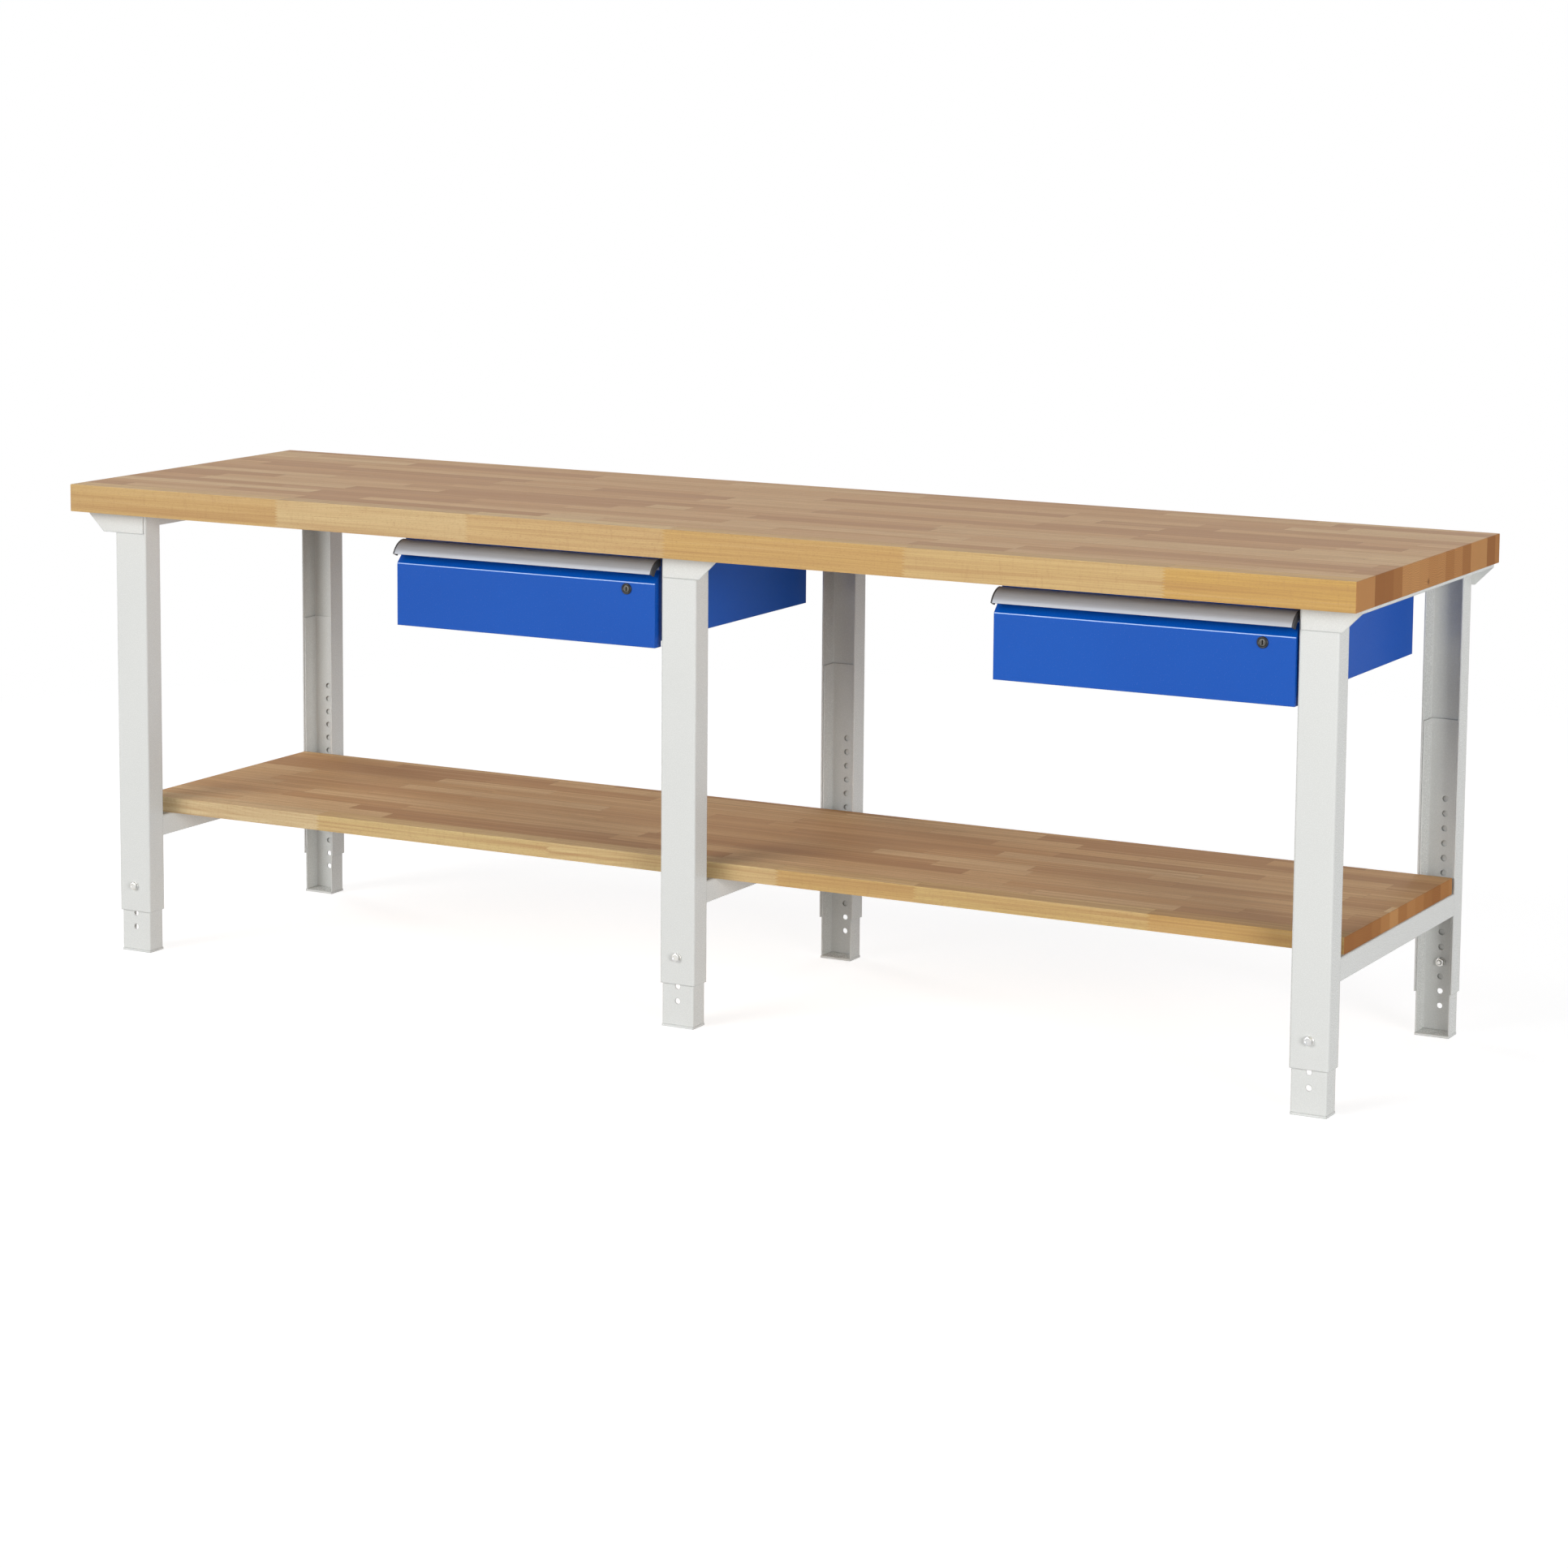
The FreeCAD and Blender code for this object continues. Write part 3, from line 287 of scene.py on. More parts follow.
class Beech(Finish):
    """Finger-jointed beech staves along X: a solid texture, so the ends show end grain."""

    def __init__(self, node, name, joints, tints, hues, contrast, rough, seed):
        super().__init__(name)
        self.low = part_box(node)[0]
        self.x, self.y, self.z = self.parts(self.place)
        self.facing_x, self.facing_y = self.parts(self.facing)[:2]
        self.lay_staves(joints, seed)
        self.draw_chances(seed)
        self.grow_rings()
        fibre = self.grain((7.0, 420.0, 420.0), detail=3.0, roughness=0.65)
        seam = self.span(self.seam_gap(), SEAM_CORE, SEAM_EDGE, 1.0, 0.0)
        end = self.math("GREATER_THAN", self.math("ABSOLUTE", self.facing_x), 0.5)

        colour = self.side_colour(self.stave_tint(tints, hues), fibre, contrast)
        colour = self.blend(end, colour, self.end_colour())
        colour = self.blend(self.math("MULTIPLY", seam, 0.45), colour, GLUE_LINE)
        smooth = self.span(fibre, 0.3, 0.75, rough - 0.07, rough + 0.07)
        end_rough = self.math("MULTIPLY_ADD", end, 0.28, smooth)
        self.set(Base_Color=colour, Specular_IOR_Level=0.17, Roughness=end_rough)

        height = self.math("SUBTRACT", self.math("MULTIPLY", fibre, -1.0), self.math("MULTIPLY", seam, 1.5))
        self.bump(self.math("MULTIPLY_ADD", self.rings, -0.35, height), strength=0.12, distance=0.0004)

    def lay_staves(self, joints, seed):
        """Divide the board into rows along Y and each row into staves along X."""
        level = self.math("DIVIDE", self.math("SUBTRACT", self.y, self.low.y), STAVE_WIDTH)
        self.row = self.math("FLOOR", level)
        self.across = self.math("FRACT", level)
        fingers = self.math("PINGPONG", self.math("SUBTRACT", self.z, self.low.z), FINGER_HALF_PITCH)
        run = self.math("MULTIPLY_ADD", fingers, FINGER_SLOPE, self.x)

        shift = self.math("MULTIPLY", self.chance(self.row, seed, 0.5)[0], ROW_SHIFT)
        spot = self.math("MULTIPLY_ADD", run, 1.0 / STAVE_LENGTH, shift)
        slot = self.math("FLOOR", self.math("ADD", spot, 0.5))
        drift = self.centred(self.chance(self.row, slot, seed)[0], JOINT_DRIFT)
        joint_spot = self.math("ADD", drift, slot)
        inner = self.math("SUBTRACT", slot, self.math("LESS_THAN", spot, joint_spot))
        inner_gap = self.math("MULTIPLY", self.apart(spot, joint_spot), STAVE_LENGTH)

        self.passed = 0.0
        front_gap = 1.0
        for joint in joints:
            self.passed = self.math("ADD", self.math("GREATER_THAN", run, joint), self.passed)
            front_gap = self.math("MINIMUM", self.apart(run, joint), front_gap)
        self.front = self.math("LESS_THAN", self.row, 0.5)
        self.stave = self.choose(self.front, self.passed, inner)
        self.end_gap = self.choose(self.front, front_gap, inner_gap)

    def draw_chances(self, seed):
        """Each stave's own shade, pith and coordinates, drawn by chance."""
        moves = self.chance(self.row, self.stave, seed + 3.0)
        self.shade, aside, below = self.chance(self.row, self.stave, seed + 9.0)
        steps = zip(moves, GRAIN_SHIFTS, (self.x, self.y, self.z))
        self.own = self.point(*[self.math("MULTIPLY_ADD", *step) for step in steps])
        self.pith_y = self.centred(aside, PITH_SPREAD)
        self.pith_z = self.math("MULTIPLY_ADD", below, PITH_DEPTH, PITH_NEAREST)
        self.lean_y = self.centred(moves[0], LEAN)
        self.lean_z = self.centred(moves[1], LEAN)

    def grain(self, waves, detail=2.0, roughness=0.5):
        """Noise within a stave; waves is how many there are to the metre along each axis."""
        return self.noise(self.stretch(self.own, waves), detail=detail, roughness=roughness)

    def grow_rings(self):
        """Year rings round a pith that lies near the stave and leans a little from X."""
        self.wobble = self.grain((3.0, 30.0, 30.0))
        local_y = self.centred(self.across, STAVE_WIDTH)
        local_z = self.math("SUBTRACT", self.z, self.low.z)
        off_y = self.math("MULTIPLY_ADD", self.lean_y, self.x, self.math("ADD", local_y, self.pith_y))
        off_z = self.math("MULTIPLY_ADD", self.lean_z, self.x, self.math("ADD", local_z, self.pith_z))
        age = self.math("MULTIPLY_ADD", self.wobble, RING_WOBBLE, self.reach(off_y, off_z))
        wave = self.math("SINE", self.math("MULTIPLY", age, 2.0 * math.pi / RING_PITCH))
        self.rings = self.span(wave, -0.2, 1.0, 0.0, 1.0)

    def seam_gap(self):
        """The distance to the nearest glue line."""
        to_middle = self.apart(self.across, 0.5)
        side_gap = self.math("MULTIPLY", self.math("SUBTRACT", 0.5, to_middle), STAVE_WIDTH)
        return self.math("MINIMUM", self.end_gap, side_gap)

    def stave_tint(self, tints, hues):
        """A hue by chance for each stave; the front row has its own tints, most on the edge face."""
        tint = self.ramp(self.shade, list(zip(HUE_STOPS, hues)))
        place = self.math("DIVIDE", self.math("ADD", self.passed, 0.5), len(tints))
        stops = [(index / len(tints), colour) for index, colour in enumerate(tints)]
        front_tint = self.ramp(place, stops, steps=True)
        # On the shelf these tints hold painted light that lifts shade, most on the edge face.
        edge_face = self.span(self.facing_y, -0.3, -0.7, 0.4, 1.0)
        return self.blend(self.math("MULTIPLY", self.front, edge_face), tint, front_tint)

    def side_colour(self, tint, fibre, contrast):
        """Rings, fibres, streaks, flecks and rays over a stave's tint."""
        broad = self.grain((2.2, 34.0, 34.0))
        streak = self.grain((1.7, 150.0, 150.0), roughness=0.6)
        fleck = self.span(self.grain((210.0, 1300.0, 1300.0), detail=1.0), 0.60, 0.72, 0.0, 0.35)
        ray = self.span(self.grain((190.0, 60.0, 45.0)), 0.56, 0.75, 0.0, 0.20)
        layers = (
            (self.math("MULTIPLY", self.rings, 0.20), RING_BROWN),
            (self.span(fibre, 0.35, 0.75, 0.0, 0.26), FIBRE_BROWN),
            (self.span(broad, 0.35, 0.8, 0.0, 0.36 * contrast), BROAD_BROWN),
            (self.span(streak, 0.45, 0.72, 0.0, 0.46 * contrast), STREAK_DARK),
            (self.span(streak, 0.25, 0.45, 0.30 * contrast, 0.0), STREAK_PALE),
            (fleck, FLECK_DARK),
            (ray, RAY_BROWN))
        colour = tint
        for share, layer in layers:
            colour = self.blend(share, colour, layer)
        return colour

    def end_colour(self):
        """Darker end grain with rings, pores and one knot in the worktop's end."""
        colour = self.ramp(self.shade, list(zip((0.0, 0.5, 1.0), END_HUES)))
        colour = self.blend(self.math("MULTIPLY", self.rings, 0.42), colour, END_RING)
        pores = self.noise(self.stretch(self.place, (1.0, 900.0, 900.0)))
        colour = self.blend(self.span(pores, 0.5, 0.8, 0.0, 0.5), colour, END_PORE)
        off_knot = self.reach(self.math("SUBTRACT", self.y, KNOT_Y), self.math("SUBTRACT", self.z, KNOT_Z))
        off_knot = self.math("MULTIPLY_ADD", self.wobble, 0.004, off_knot)
        return self.blend(self.span(off_knot, KNOT_CORE, KNOT_RIM, 0.75, 0.0), colour, KNOT_DARK)


def powder_coat(name, light, dark, rough, gloss, painted_fold_highlight=None):
    """Baked powder coat: fine orange peel and a faint drift in colour; folds that face up may get a painted
    highlight.
    """
    coat = Finish(name)
    drift = coat.noise(coat.place, scale=3.5, detail=3.0)
    peel = coat.noise(coat.place, scale=620.0, roughness=0.55)
    grit = coat.noise(coat.place, scale=2600.0, detail=1.0)
    colour = coat.blend(coat.span(drift, 0.3, 0.7, 0.0, 1.0), light, dark)
    colour = coat.blend(coat.span(grit, 0.62, 0.8, 0.0, 0.10), colour, [0.8 * value for value in dark])
    # Painted highlight: where a face turns up at a fold, a paler colour stands in for the bright line a lamp
    # makes there.
    if painted_fold_highlight is not None:
        up = coat.parts(coat.facing)[2]
        past_face = coat.span(up, 0.05, 0.15, 0.0, 1.0)
        before_slope = coat.span(up, 0.45, 0.58, 1.0, 0.0)
        colour = coat.blend(coat.math("MULTIPLY", past_face, before_slope), colour, painted_fold_highlight)
    skin = coat.span(peel, 0.3, 0.7, rough - 0.05, rough + 0.07)
    coat.set(Base_Color=colour, Specular_IOR_Level=gloss, Roughness=skin)
    height = coat.math("MULTIPLY_ADD", grit, 0.15, peel)
    coat.bump(height, strength=0.055, distance=0.0004, normal=coat.rounded(0.0025))
    return coat.material


def drawn_aluminium(name):
    """Anodised extrusion with drawing lines along X."""
    metal = Finish(name)
    line = metal.noise(metal.stretch(metal.place, (1.6, 1500.0, 1500.0)), detail=3.0, roughness=0.6)
    cloud = metal.noise(metal.place, scale=14.0)
    colour = metal.ramp(line, [(0.25, (0.315, 0.328, 0.358)), (0.75, (0.41, 0.428, 0.466))])
    rough = metal.math("MULTIPLY_ADD", cloud, 0.05, metal.span(line, 0.3, 0.7, 0.36, 0.46))
    metal.set(Base_Color=colour, Metallic=0.36, Roughness=rough)
    metal.bump(line, strength=0.10, distance=0.00025)
    return metal.material


def zinc(name):
    """Bright zinc plating with a soft spangle and a trace of blue and straw passivation."""
    metal = Finish(name)
    cells = metal.add("ShaderNodeTexVoronoi")
    metal.join(metal.place, cells.inputs["Vector"])
    cells.inputs["Scale"].default_value = 420.0
    grain = metal.split(cells.outputs["Color"])[0]
    haze = metal.noise(metal.place, scale=90.0, detail=3.0)
    colour = metal.ramp(haze, [
        (0.3, (0.60, 0.61, 0.62)), (0.5, (0.66, 0.655, 0.635)), (0.7, (0.67, 0.65, 0.59))])
    colour = metal.blend(metal.math("MULTIPLY", grain, 0.10), colour, (0.45, 0.46, 0.47))
    metal.set(Base_Color=colour, Metallic=1.0, Roughness=metal.span(haze, 0.3, 0.7, 0.30, 0.37))
    metal.bump(metal.noise(metal.place, scale=1500.0), strength=0.03, distance=0.0002)
    return metal.material


def black_plate(name):
    """Black plated metal, satin, rubbed a little lighter in places."""
    metal = Finish(name)
    rub = metal.noise(metal.place, scale=160.0, detail=3.0, roughness=0.6)
    fine = metal.noise(metal.place, scale=2400.0)
    colour = metal.ramp(rub, [(0.35, (0.010, 0.010, 0.011)), (0.8, (0.042, 0.041, 0.040))])
    metal.set(Base_Color=colour, Metallic=0.35, Roughness=metal.span(fine, 0.3, 0.7, 0.30, 0.46))
    metal.bump(fine, strength=0.12, distance=0.0002)
    return metal.material


def worn_key_face(name):
    """The plug's face: dark plating worn to grey metal by keys."""
    metal = Finish(name)
    rub = metal.noise(metal.place, scale=420.0, detail=3.0, roughness=0.65)
    scratch = metal.noise(metal.stretch(metal.place, (2600.0, 900.0, 380.0)))
    colour = metal.ramp(rub, [(0.3, (0.055, 0.054, 0.050)), (0.7, (0.15, 0.147, 0.135))])
    metal.set(Base_Color=colour, Metallic=0.6, Roughness=metal.span(scratch, 0.3, 0.7, 0.30, 0.48))
    metal.bump(scratch, strength=0.15, distance=0.0002)
    return metal.material


def moulded(name):
    """Dark moulded plastic with a fine spark-eroded grain."""
    plastic = Finish(name)
    grain = plastic.noise(plastic.place, scale=1900.0, roughness=0.6)
    drift = plastic.noise(plastic.place, scale=40.0)
    colour = plastic.ramp(drift, [(0.3, (0.026, 0.026, 0.029)), (0.7, (0.040, 0.040, 0.044))])
    plastic.set(Base_Color=colour, Roughness=plastic.span(grain, 0.3, 0.7, 0.42, 0.60))
    plastic.bump(grain, strength=0.20, distance=0.0003)
    return plastic.material


finishes = {
    "grey_steel": powder_coat(
        "grey_powder_coat", light=(0.655, 0.663, 0.643), dark=(0.638, 0.646, 0.626), rough=0.25, gloss=0.5),
    "blue_steel": powder_coat(
        "blue_powder_coat", light=(0.001, 0.080, 0.425), dark=(0.001, 0.073, 0.400), rough=0.21, gloss=0.31,
        # The painted highlight: a paler blue on the fronts' upward fold.
        painted_fold_highlight=(0.36, 0.53, 0.88)),
    "aluminium": drawn_aluminium("anodised_aluminium"),
    "dark_plastic": moulded("moulded_plastic"),
    "zinc_steel": zinc("zinc_plate"),
    "black_metal": black_plate("black_plate"),
}
boards = {node: Beech(node, **look).material for node, look in BOARDS.items()}
housing_coat = powder_coat(
    "dull_blue_coat", light=(0.010, 0.092, 0.455), dark=(0.009, 0.084, 0.430), rough=0.40, gloss=0.07)
key_plug = worn_key_face("worn_key_plug")


def finish_of(node):
    """The material of a CAD node: the boards and housings have their own, the rest go by slot."""
    if node in boards:
        return boards[node]
    if node.endswith("_housing"):
        return housing_coat
    return finishes[slot_of[node]]


for node_name, node_piece in nodes.items():
    node_piece.data.materials.clear()
    node_piece.data.materials.append(finish_of(node_name))


def islands(name):
    """The boxes of a CAD node's separate solids, low and high corner each, in order."""
    shape = bmesh.new()
    shape.from_mesh(nodes[name].data)
    bmesh.ops.remove_doubles(shape, verts=shape.verts, dist=1e-6)
    waiting = set(shape.verts)
    boxes = []
    for start in shape.verts:
        if start not in waiting:
            continue
        waiting.discard(start)
        group, border = [start], [start]
        while border:
            for link in border.pop().link_edges:
                for vert in link.verts:
                    if vert in waiting:
                        waiting.discard(vert)
                        group.append(vert)
                        border.append(vert)
        low = Vector([min(vert.co[axis] for vert in group) for axis in range(3)])
        high = Vector([max(vert.co[axis] for vert in group) for axis in range(3)])
        boxes.append((low, high))
    shape.free()
    return sorted(boxes, key=lambda box: tuple(box[0]))


# Fasteners and locks are skinned over loops of points round an axis
POINTS_ROUND = 48
ANGLES = [2.0 * math.pi * index / POINTS_ROUND for index in range(POINTS_ROUND)]
NEARLY_ZERO = 1e-9
SHARP_ANGLE = math.radians(32.0)
# The round top that a hexagon's chamfer leaves, as a share of half its width
HEX_CROWN = 0.95


def hexagon_reach(angle, flat):
    """From the axis to a hexagon's side at this angle; flat is half its width."""
    return flat / math.cos((angle + math.pi / 6.0) % (math.pi / 3.0) - math.pi / 6.0)


def rectangle_reach(angle, half_width, half_height):
    """From the axis to a rectangle's side at this angle."""
    across = max(abs(math.cos(angle)), NEARLY_ZERO)
    up = max(abs(math.sin(angle)), NEARLY_ZERO)
    return min(half_width / across, half_height / up)


class Axis:
    """The Y axis of a box: loops of points round it, at a depth inward from its outer end."""

    def __init__(self, low, high, inward=1.0):
        self.middle = (low + high) / 2.0
        self.outer = low.y if inward > 0.0 else high.y
        self.length = high.y - low.y
        self.inward = inward

    def point(self, angle, reach, depth):
        x = self.middle.x + reach * math.cos(angle)
        z = self.middle.z + reach * math.sin(angle)
        return (x, self.outer + self.inward * depth, z)

    def circles(self, *profile):
        """A circle for each radius and depth."""
        return [[self.point(angle, radius, depth) for angle in ANGLES] for radius, depth in profile]

    def hexagon(self, flat, depth, chamfer=0.0):
        """A hexagon whose corners lie deeper by chamfer for each metre past the crown."""
        loop = []
        for angle in ANGLES:
            reach = hexagon_reach(angle, flat)
            loop.append(self.point(angle, reach, depth + chamfer * max(0.0, reach - HEX_CROWN * flat)))
        return loop

    def rectangle(self, half_width, half_height, depth):
        return [self.point(angle, rectangle_reach(angle, half_width, half_height), depth) for angle in ANGLES]

    def cross(self, arm, half_width, depth):
        loop = []
        for angle in ANGLES:
            level = rectangle_reach(angle, arm, half_width)
            upright = rectangle_reach(angle, half_width, arm)
            loop.append(self.point(angle, max(level, upright), depth))
        return loop

    def helix(self, radius, depth, pitch):
        """One turn of a right-handed thread."""
        loop = []
        for angle in ANGLES:
            turn = angle / (2.0 * math.pi)
            climb = 1.0 - turn if self.inward > 0.0 else turn
            loop.append(self.point(angle, radius, depth + pitch * climb))
        return loop

    def thread(self, crest, root, pitch, start, end):
        """The loops of a thread between two depths."""
        loops = []
        for turn in range(int((end - start) / pitch - 1.0)):
            depth = start + turn * pitch
            loops.append(self.helix(root, depth, pitch))
            loops.append(self.helix(crest, depth + pitch / 2.0, pitch))
        return loops


def loft(shape, loops, ring=False):
    """Skin loops of equal count; the ends are capped, or the last loop meets the first."""
    rows = [[shape.verts.new(point) for point in loop] for loop in loops]
    pairs = list(zip(rows, rows[1:]))
    if ring:
        pairs.append((rows[-1], rows[0]))
    else:
        shape.faces.new(rows[0])
        shape.faces.new(rows[-1])
    for low, high in pairs:
        for index in range(len(low)):
            after = (index + 1) % len(low)
            shape.faces.new((low[index], low[after], high[after], high[index]))


def add_piece(name, shape, like, material):
    """Finish a mesh as a piece on the body of the CAD node it stands for, with the material given, and hide
    that node.
    """
    bmesh.ops.recalc_face_normals(shape, faces=shape.faces)
    mesh = bpy.data.meshes.new(name)
    shape.to_mesh(mesh)
    shape.free()
    for face in mesh.polygons:
        face.use_smooth = True
    mesh.set_sharp_from_angle(angle=SHARP_ANGLE)
    mesh.materials.append(material)
    piece = bpy.data.objects.new(name, mesh)
    bpy.context.scene.collection.objects.link(piece)
    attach(piece, nodes[like]["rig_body"])
    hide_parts(like)


# M8 bolts, nuts and washers
HEAD_FLAT = 0.0065
HEAD_HEIGHT = 0.0053
HEAD_CHAMFER = math.tan(math.radians(28.0))
HEAD_EDGE = 0.0004
DISH_DEPTH = 0.0005
# The dish in a bolt head's face and the round under the head, as shares of half its width
DISH_FLOOR, DISH_RIM, HEAD_UNDER = 0.62, 0.70, 0.94
SHANK = 0.004
PLAIN_SHANK = 0.0050
THREAD_DEPTH = 0.00055
THREAD_PITCH = 0.00125
THREAD_ROOT = SHANK - THREAD_DEPTH
TIP_RADIUS = SHANK - 1.6 * THREAD_DEPTH
TIP_LENGTH = 0.0004
BORE = SHANK + 0.0001
BORE_CHAMFER, BORE_CHAMFER_DEPTH = 0.0005, 0.0006
WASHER_EDGE = 0.0003


def make_bolts():
    shape = bmesh.new()
    for low, high in islands("height_bolts"):
        axis = Axis(low, high, inward=1.0 if low.y + high.y < 0.0 else -1.0)
        start = HEAD_HEIGHT + PLAIN_SHANK
        loops = axis.circles(
            (DISH_FLOOR * HEAD_FLAT, DISH_DEPTH), (DISH_RIM * HEAD_FLAT, 0.0), (HEX_CROWN * HEAD_FLAT, 0.0))
        loops.append(axis.hexagon(HEAD_FLAT, 0.0, HEAD_CHAMFER))
        loops.append(axis.hexagon(HEAD_FLAT, HEAD_HEIGHT - HEAD_EDGE))
        loops += axis.circles((HEAD_UNDER * HEAD_FLAT, HEAD_HEIGHT), (SHANK, HEAD_HEIGHT), (SHANK, start))
        loops += axis.thread(SHANK, THREAD_ROOT, THREAD_PITCH, start, axis.length - 2.0 * TIP_LENGTH)
        loops += axis.circles((THREAD_ROOT, axis.length - TIP_LENGTH), (TIP_RADIUS, axis.length))
        loft(shape, loops)
    add_piece("hex_bolts", shape, "height_bolts", finishes["zinc_steel"])


def make_nuts():
    shape = bmesh.new()
    for low, high in islands("height_bolt_nuts"):
        axis = Axis(low, high)
        mouth = BORE + BORE_CHAMFER
        crown = HEX_CROWN * HEAD_FLAT
        loops = axis.circles((BORE, BORE_CHAMFER_DEPTH), (mouth, 0.0), (crown, 0.0))
        loops.append(axis.hexagon(HEAD_FLAT, 0.0, HEAD_CHAMFER))
        loops.append(axis.hexagon(HEAD_FLAT, axis.length, -HEAD_CHAMFER))
        loops += axis.circles(
            (crown, axis.length), (mouth, axis.length), (BORE, axis.length - BORE_CHAMFER_DEPTH))
        loft(shape, loops, ring=True)
    add_piece("hex_nuts", shape, "height_bolt_nuts", finishes["zinc_steel"])


def make_washers():
    """Washers with a rim that is rounder on one side, as punching leaves it."""
    shape = bmesh.new()
    edge = WASHER_EDGE
    for low, high in islands("height_bolt_washers"):
        axis = Axis(low, high)
        rim = (high.x - low.x) / 2.0
        back = axis.length
        loops = axis.circles(
            (BORE, edge), (BORE + edge, 0.0), (rim - 2.0 * edge, 0.0), (rim, 1.5 * edge),
            (rim, back - edge), (rim - edge, back), (BORE + edge, back), (BORE, back - edge))
        loft(shape, loops, ring=True)
    add_piece("round_washers", shape, "height_bolt_washers", finishes["zinc_steel"])


# Pan-head screws: lengths in metres, tip and end as shares of the shank's radius
WOOD_SCREW = {
    "head": 0.0050, "height": 0.0025, "shank": 0.0025, "pitch": 0.0022,
    "tip": 2.4, "end": 0.06, "upright": True}
FRONT_SCREW = {
    "head": 0.0035, "height": 0.0020, "shank": 0.00175, "pitch": 0.0006,
    "tip": 0.3, "end": 0.6, "upright": False}
# The thread's root as a share of the shank's radius
SCREW_ROOT = 0.72
# The head's dome, as shares of its radius and height
PAN_DOME = ((0.62, 0.0), (0.85, 0.16), (0.96, 0.42), (1.0, 0.75), (0.99, 1.0))
# The cross recess from floor to mouth: arm and half width by the head's radius, depth by its height
RECESS = ((0.24, 0.08, 0.68), (0.50, 0.11, 0.0))


def make_screws(name, node, head, height, shank, pitch, tip, end, upright):
    """Cross-recess screws; upright ones are made lying along Y and then stood up."""
    shape = bmesh.new()
    for low, high in islands(node):
        if upright:
            axis = Axis(Vector((low.x, low.z, -high.y)), Vector((high.x, high.z, -low.y)))
        else:
            axis = Axis(low, high, inward=-1.0)
        start = height + pitch
        stop = axis.length - tip * shank
        loops = [axis.cross(arm * head, half_width * head, down * height) for arm, half_width, down in RECESS]
        loops += axis.circles(*[(out * head, down * height) for out, down in PAN_DOME])
        loops += axis.circles((shank, height), (shank, start))
        loops += axis.thread(shank, SCREW_ROOT * shank, pitch, start, stop)
        loops += axis.circles((SCREW_ROOT * shank, stop), (end * shank, axis.length))
        loft(shape, loops)
    if upright:
        for vert in shape.verts:
            vert.co = Vector((vert.co.x, -vert.co.z, vert.co.y))
    add_piece(name, shape, node, finishes[slot_of[node]])


# Locks: a rounding is a row of steps from a radius, each with its depth
LOCK_BORE = 0.0062
LOCK_TUBE = 0.0080
LOCK_SEAT = 0.0025
INNER_ROUND = ((0.0, 0.0012), (0.0004, 0.0007), (0.0011, 0.0002), (0.0018, 0.0))
OUTER_ROUND = ((0.0011, 0.0002), (0.0004, 0.0007), (0.0, 0.0015))
GROOVE_START, GROOVE_END = 0.0030, 0.0015
GROOVE_PITCH, GROOVE_DEPTH = 0.0010, 0.0005
TUBE_EDGE = 0.0004

PLUG_CORE = 0.0060
PLUG_ROUND = ((0.0008, 0.0), (0.0002, 0.0002), (0.0, 0.0006))
PLUG_EDGE = 0.0003
# The key slot from its floor to its mouth: half width, half height and depth
KEY_SLOT = ((0.0009, 0.0034, 0.0045), (0.0011, 0.0037, 0.0003), (0.0013, 0.0039, 0.0))


def make_lock_rim(side):
    """The lock's body with its rounded rim and a grooved tube behind it."""
    barrel = f"drawer_{side}_lock_barrel"
    low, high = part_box(barrel)
    axis = Axis(low, high)
    rim = (high.x - low.x) / 2.0
    back = axis.length
    profile = [(LOCK_BORE + out, depth) for out, depth in INNER_ROUND]
    profile += [(rim - inset, depth) for inset, depth in OUTER_ROUND]
    profile += [(rim, LOCK_SEAT), (LOCK_TUBE, LOCK_SEAT)]
    first = LOCK_SEAT + GROOVE_START
    for turn in range(math.ceil((back - GROOVE_END - first) / GROOVE_PITCH)):
        depth = first + turn * GROOVE_PITCH
        profile += [(LOCK_TUBE - GROOVE_DEPTH, depth), (LOCK_TUBE, depth + GROOVE_PITCH / 2.0)]
    profile += [(LOCK_TUBE - TUBE_EDGE, back), (LOCK_BORE, back)]
    shape = bmesh.new()
    loft(shape, axis.circles(*profile), ring=True)
    add_piece(f"lock_rim_{side}", shape, barrel, finishes["black_metal"])


def make_lock_plug(side):
    """The turning plug with its key slot."""
    plug = f"drawer_{side}_lock_plug"
    low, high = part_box(plug)
    axis = Axis(low, high)
    back = axis.length
    loops = [axis.rectangle(*outline) for outline in KEY_SLOT]
    loops += axis.circles(*[(PLUG_CORE - inset, depth) for inset, depth in PLUG_ROUND])
    loops += axis.circles((PLUG_CORE, back - PLUG_EDGE), (PLUG_CORE - PLUG_EDGE, back))
    shape = bmesh.new()
    loft(shape, loops)
    add_piece(f"lock_plug_{side}", shape, plug, key_plug)


# The studio: light levels are what a matte white face turned to the lamp would show
WHITE = (1.0, 1.0, 1.0)
AMBIENT = 0.22
# Name, direction seen from the bench, distance, size and level
LAMPS = (
    ("high_front", (-0.40, -0.83, 0.37), 16.0, 10.0, 0.605),
    ("back_fill", (0.02, 0.99, 0.12), 14.0, 5.0, 0.22),
    ("left_fill", (-0.90, 0.42, 0.12), 14.0, 5.0, 0.42),
    ("right_front", (0.82, -0.56, 0.12), 13.0, 6.0, 0.62),
)
LAMP_AIM = Vector((0.0, 0.0, 0.5))

# The floor lights the bench as a pale matte one; to the eye it is white with a soft shadow
FLOOR_HALF = 30.0
FLOOR_PALE = (0.80, 0.80, 0.80)
SHADOW_PALE = (0.50, 0.50, 0.50)
FLOOR_GLOW = 0.77
FADE_START, FADE_END = 1.6, 3.6


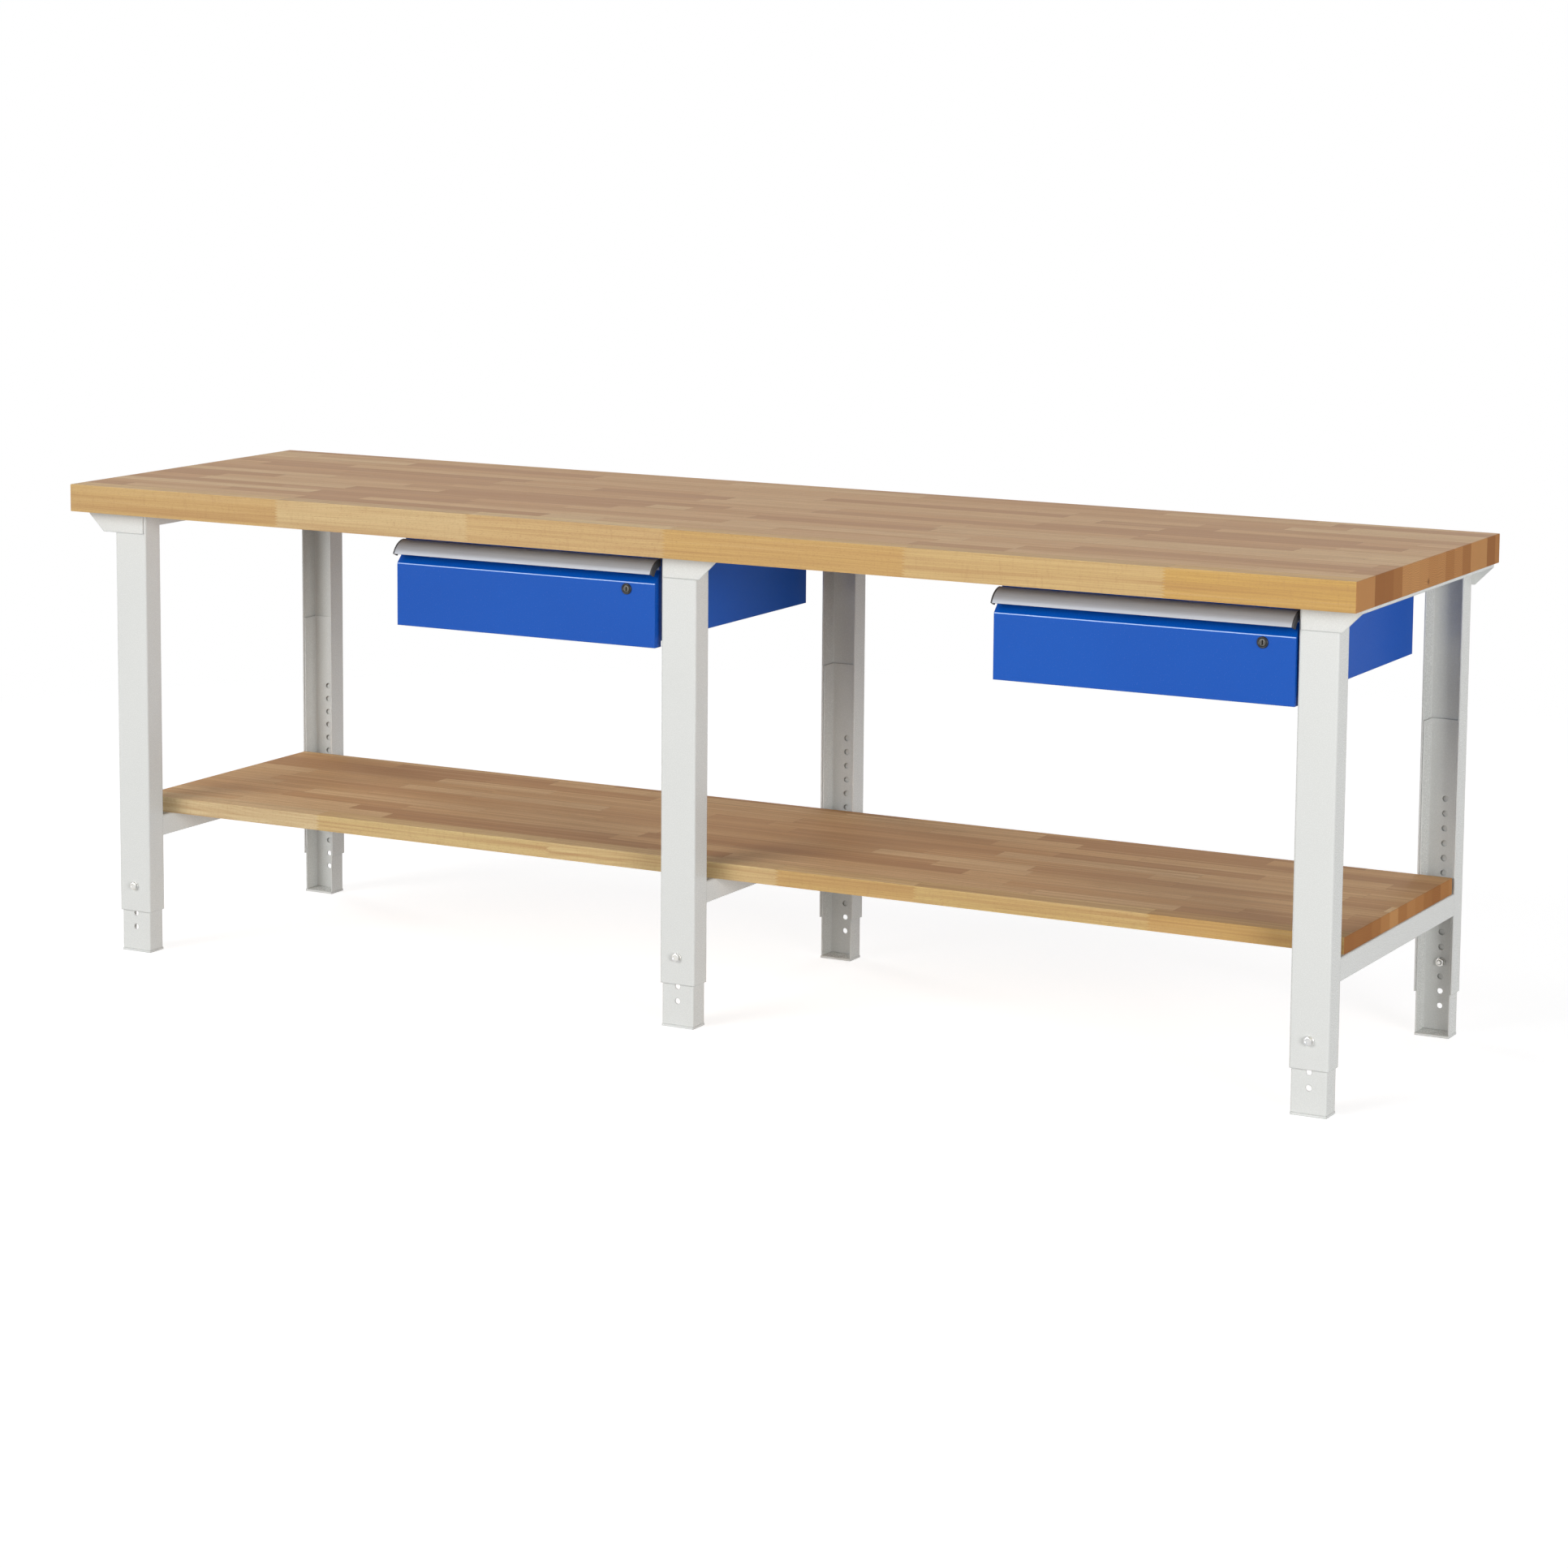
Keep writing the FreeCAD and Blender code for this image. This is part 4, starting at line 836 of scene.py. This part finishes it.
def make_world():
    world = bpy.data.worlds.new("studio")
    bpy.context.scene.world = world
    world.use_nodes = True
    sky = Shader(world.node_tree)
    ambient = sky.feed(sky.add("ShaderNodeBackground"), WHITE, AMBIENT)
    white = sky.feed(sky.add("ShaderNodeBackground"), WHITE, 1.0)
    output = sky.add("ShaderNodeOutputWorld")
    sky.join(sky.shown(ambient, white), output.inputs["Surface"])


def floor_material():
    """Near the bench a glow and a lit surface add up to white, so shadows show; further off, plain white."""
    material = bpy.data.materials.new("pale_floor")
    material.use_nodes = True
    ground = Shader(material.node_tree)
    matte = ground.feed(ground.add("ShaderNodeBsdfDiffuse"), FLOOR_PALE)
    lit = ground.feed(ground.add("ShaderNodeBsdfDiffuse"), SHADOW_PALE)
    glow = ground.feed(ground.add("ShaderNodeEmission"), WHITE, FLOOR_GLOW)
    near = ground.feed(ground.add("ShaderNodeAddShader"), lit, glow)
    white = ground.feed(ground.add("ShaderNodeEmission"), WHITE, 1.0)
    place = ground.add("ShaderNodeTexCoord").outputs["Object"]
    away = ground.add("ShaderNodeVectorMath", operation="LENGTH")
    ground.feed(away, place)
    fade = ground.span(away.outputs["Value"], FADE_START, FADE_END, 0.0, 1.0)
    output = ground.add("ShaderNodeOutputMaterial")
    ground.join(ground.shown(matte, ground.mixed(fade, near, white)), output.inputs["Surface"])
    return material


def make_floor():
    corners = [(-1.0, -1.0), (1.0, -1.0), (1.0, 1.0), (-1.0, 1.0)]
    mesh = bpy.data.meshes.new("floor")
    mesh.from_pydata([(FLOOR_HALF * x, FLOOR_HALF * y, 0.0) for x, y in corners], [], [(0, 1, 2, 3)])
    mesh.materials.append(floor_material())
    floor = bpy.data.objects.new("floor", mesh)
    bpy.context.scene.collection.objects.link(floor)


def make_lamp(name, toward, distance, size, level):
    """A round soft lamp aimed at the bench."""
    light = bpy.data.lights.new(name, "AREA")
    light.shape = "DISK"
    light.size = size
    light.energy = level * (math.pi * distance) ** 2
    lamp = bpy.data.objects.new(name, light)
    direction = Vector(toward).normalized()
    lamp.location = LAMP_AIM + direction * distance
    lamp.rotation_euler = (-direction).to_track_quat("-Z", "Y").to_euler()
    bpy.context.scene.collection.objects.link(lamp)


# The camera fitted to the photograph: metres and radians, lens and sensor in millimetres, shift in frames
CAMERA_PLACE = (3.4229, -6.3123, 1.7407)
HEADING = 0.4903
LOOK_DOWN = 0.1304
ROLL = 0.0079
LENS = 93.69
SENSOR = 36.0
SHIFT = -0.15
FAR_LIMIT = 200.0


def make_camera():
    lens = bpy.data.cameras.new("photo_camera")
    lens.sensor_width = SENSOR
    lens.lens = LENS
    lens.shift_y = SHIFT
    lens.clip_end = FAR_LIMIT
    camera = bpy.data.objects.new("photo_camera", lens)
    camera.matrix_world = (
        Matrix.Translation(CAMERA_PLACE)
        @ Matrix.Rotation(HEADING, 4, "Z")
        @ Matrix.Rotation(math.pi / 2.0 - LOOK_DOWN, 4, "X")
        @ Matrix.Rotation(ROLL, 4, "Z"))
    bpy.context.scene.collection.objects.link(camera)
    bpy.context.scene.camera = camera


make_bolts()
make_nuts()
make_washers()
for use in ("worktop", "shelf", "drawer_hanging"):
    make_screws(f"{use}_pan_screws", f"{use}_screws", **WOOD_SCREW)
for drawer_side in ("left", "right"):
    make_screws(f"{drawer_side}_pan_screws", f"drawer_{drawer_side}_front_screws", **FRONT_SCREW)
    make_lock_rim(drawer_side)
    make_lock_plug(drawer_side)
make_world()
make_floor()
for lamp_look in LAMPS:
    make_lamp(*lamp_look)
make_camera()
bpy.context.scene.view_settings.view_transform = "Standard"
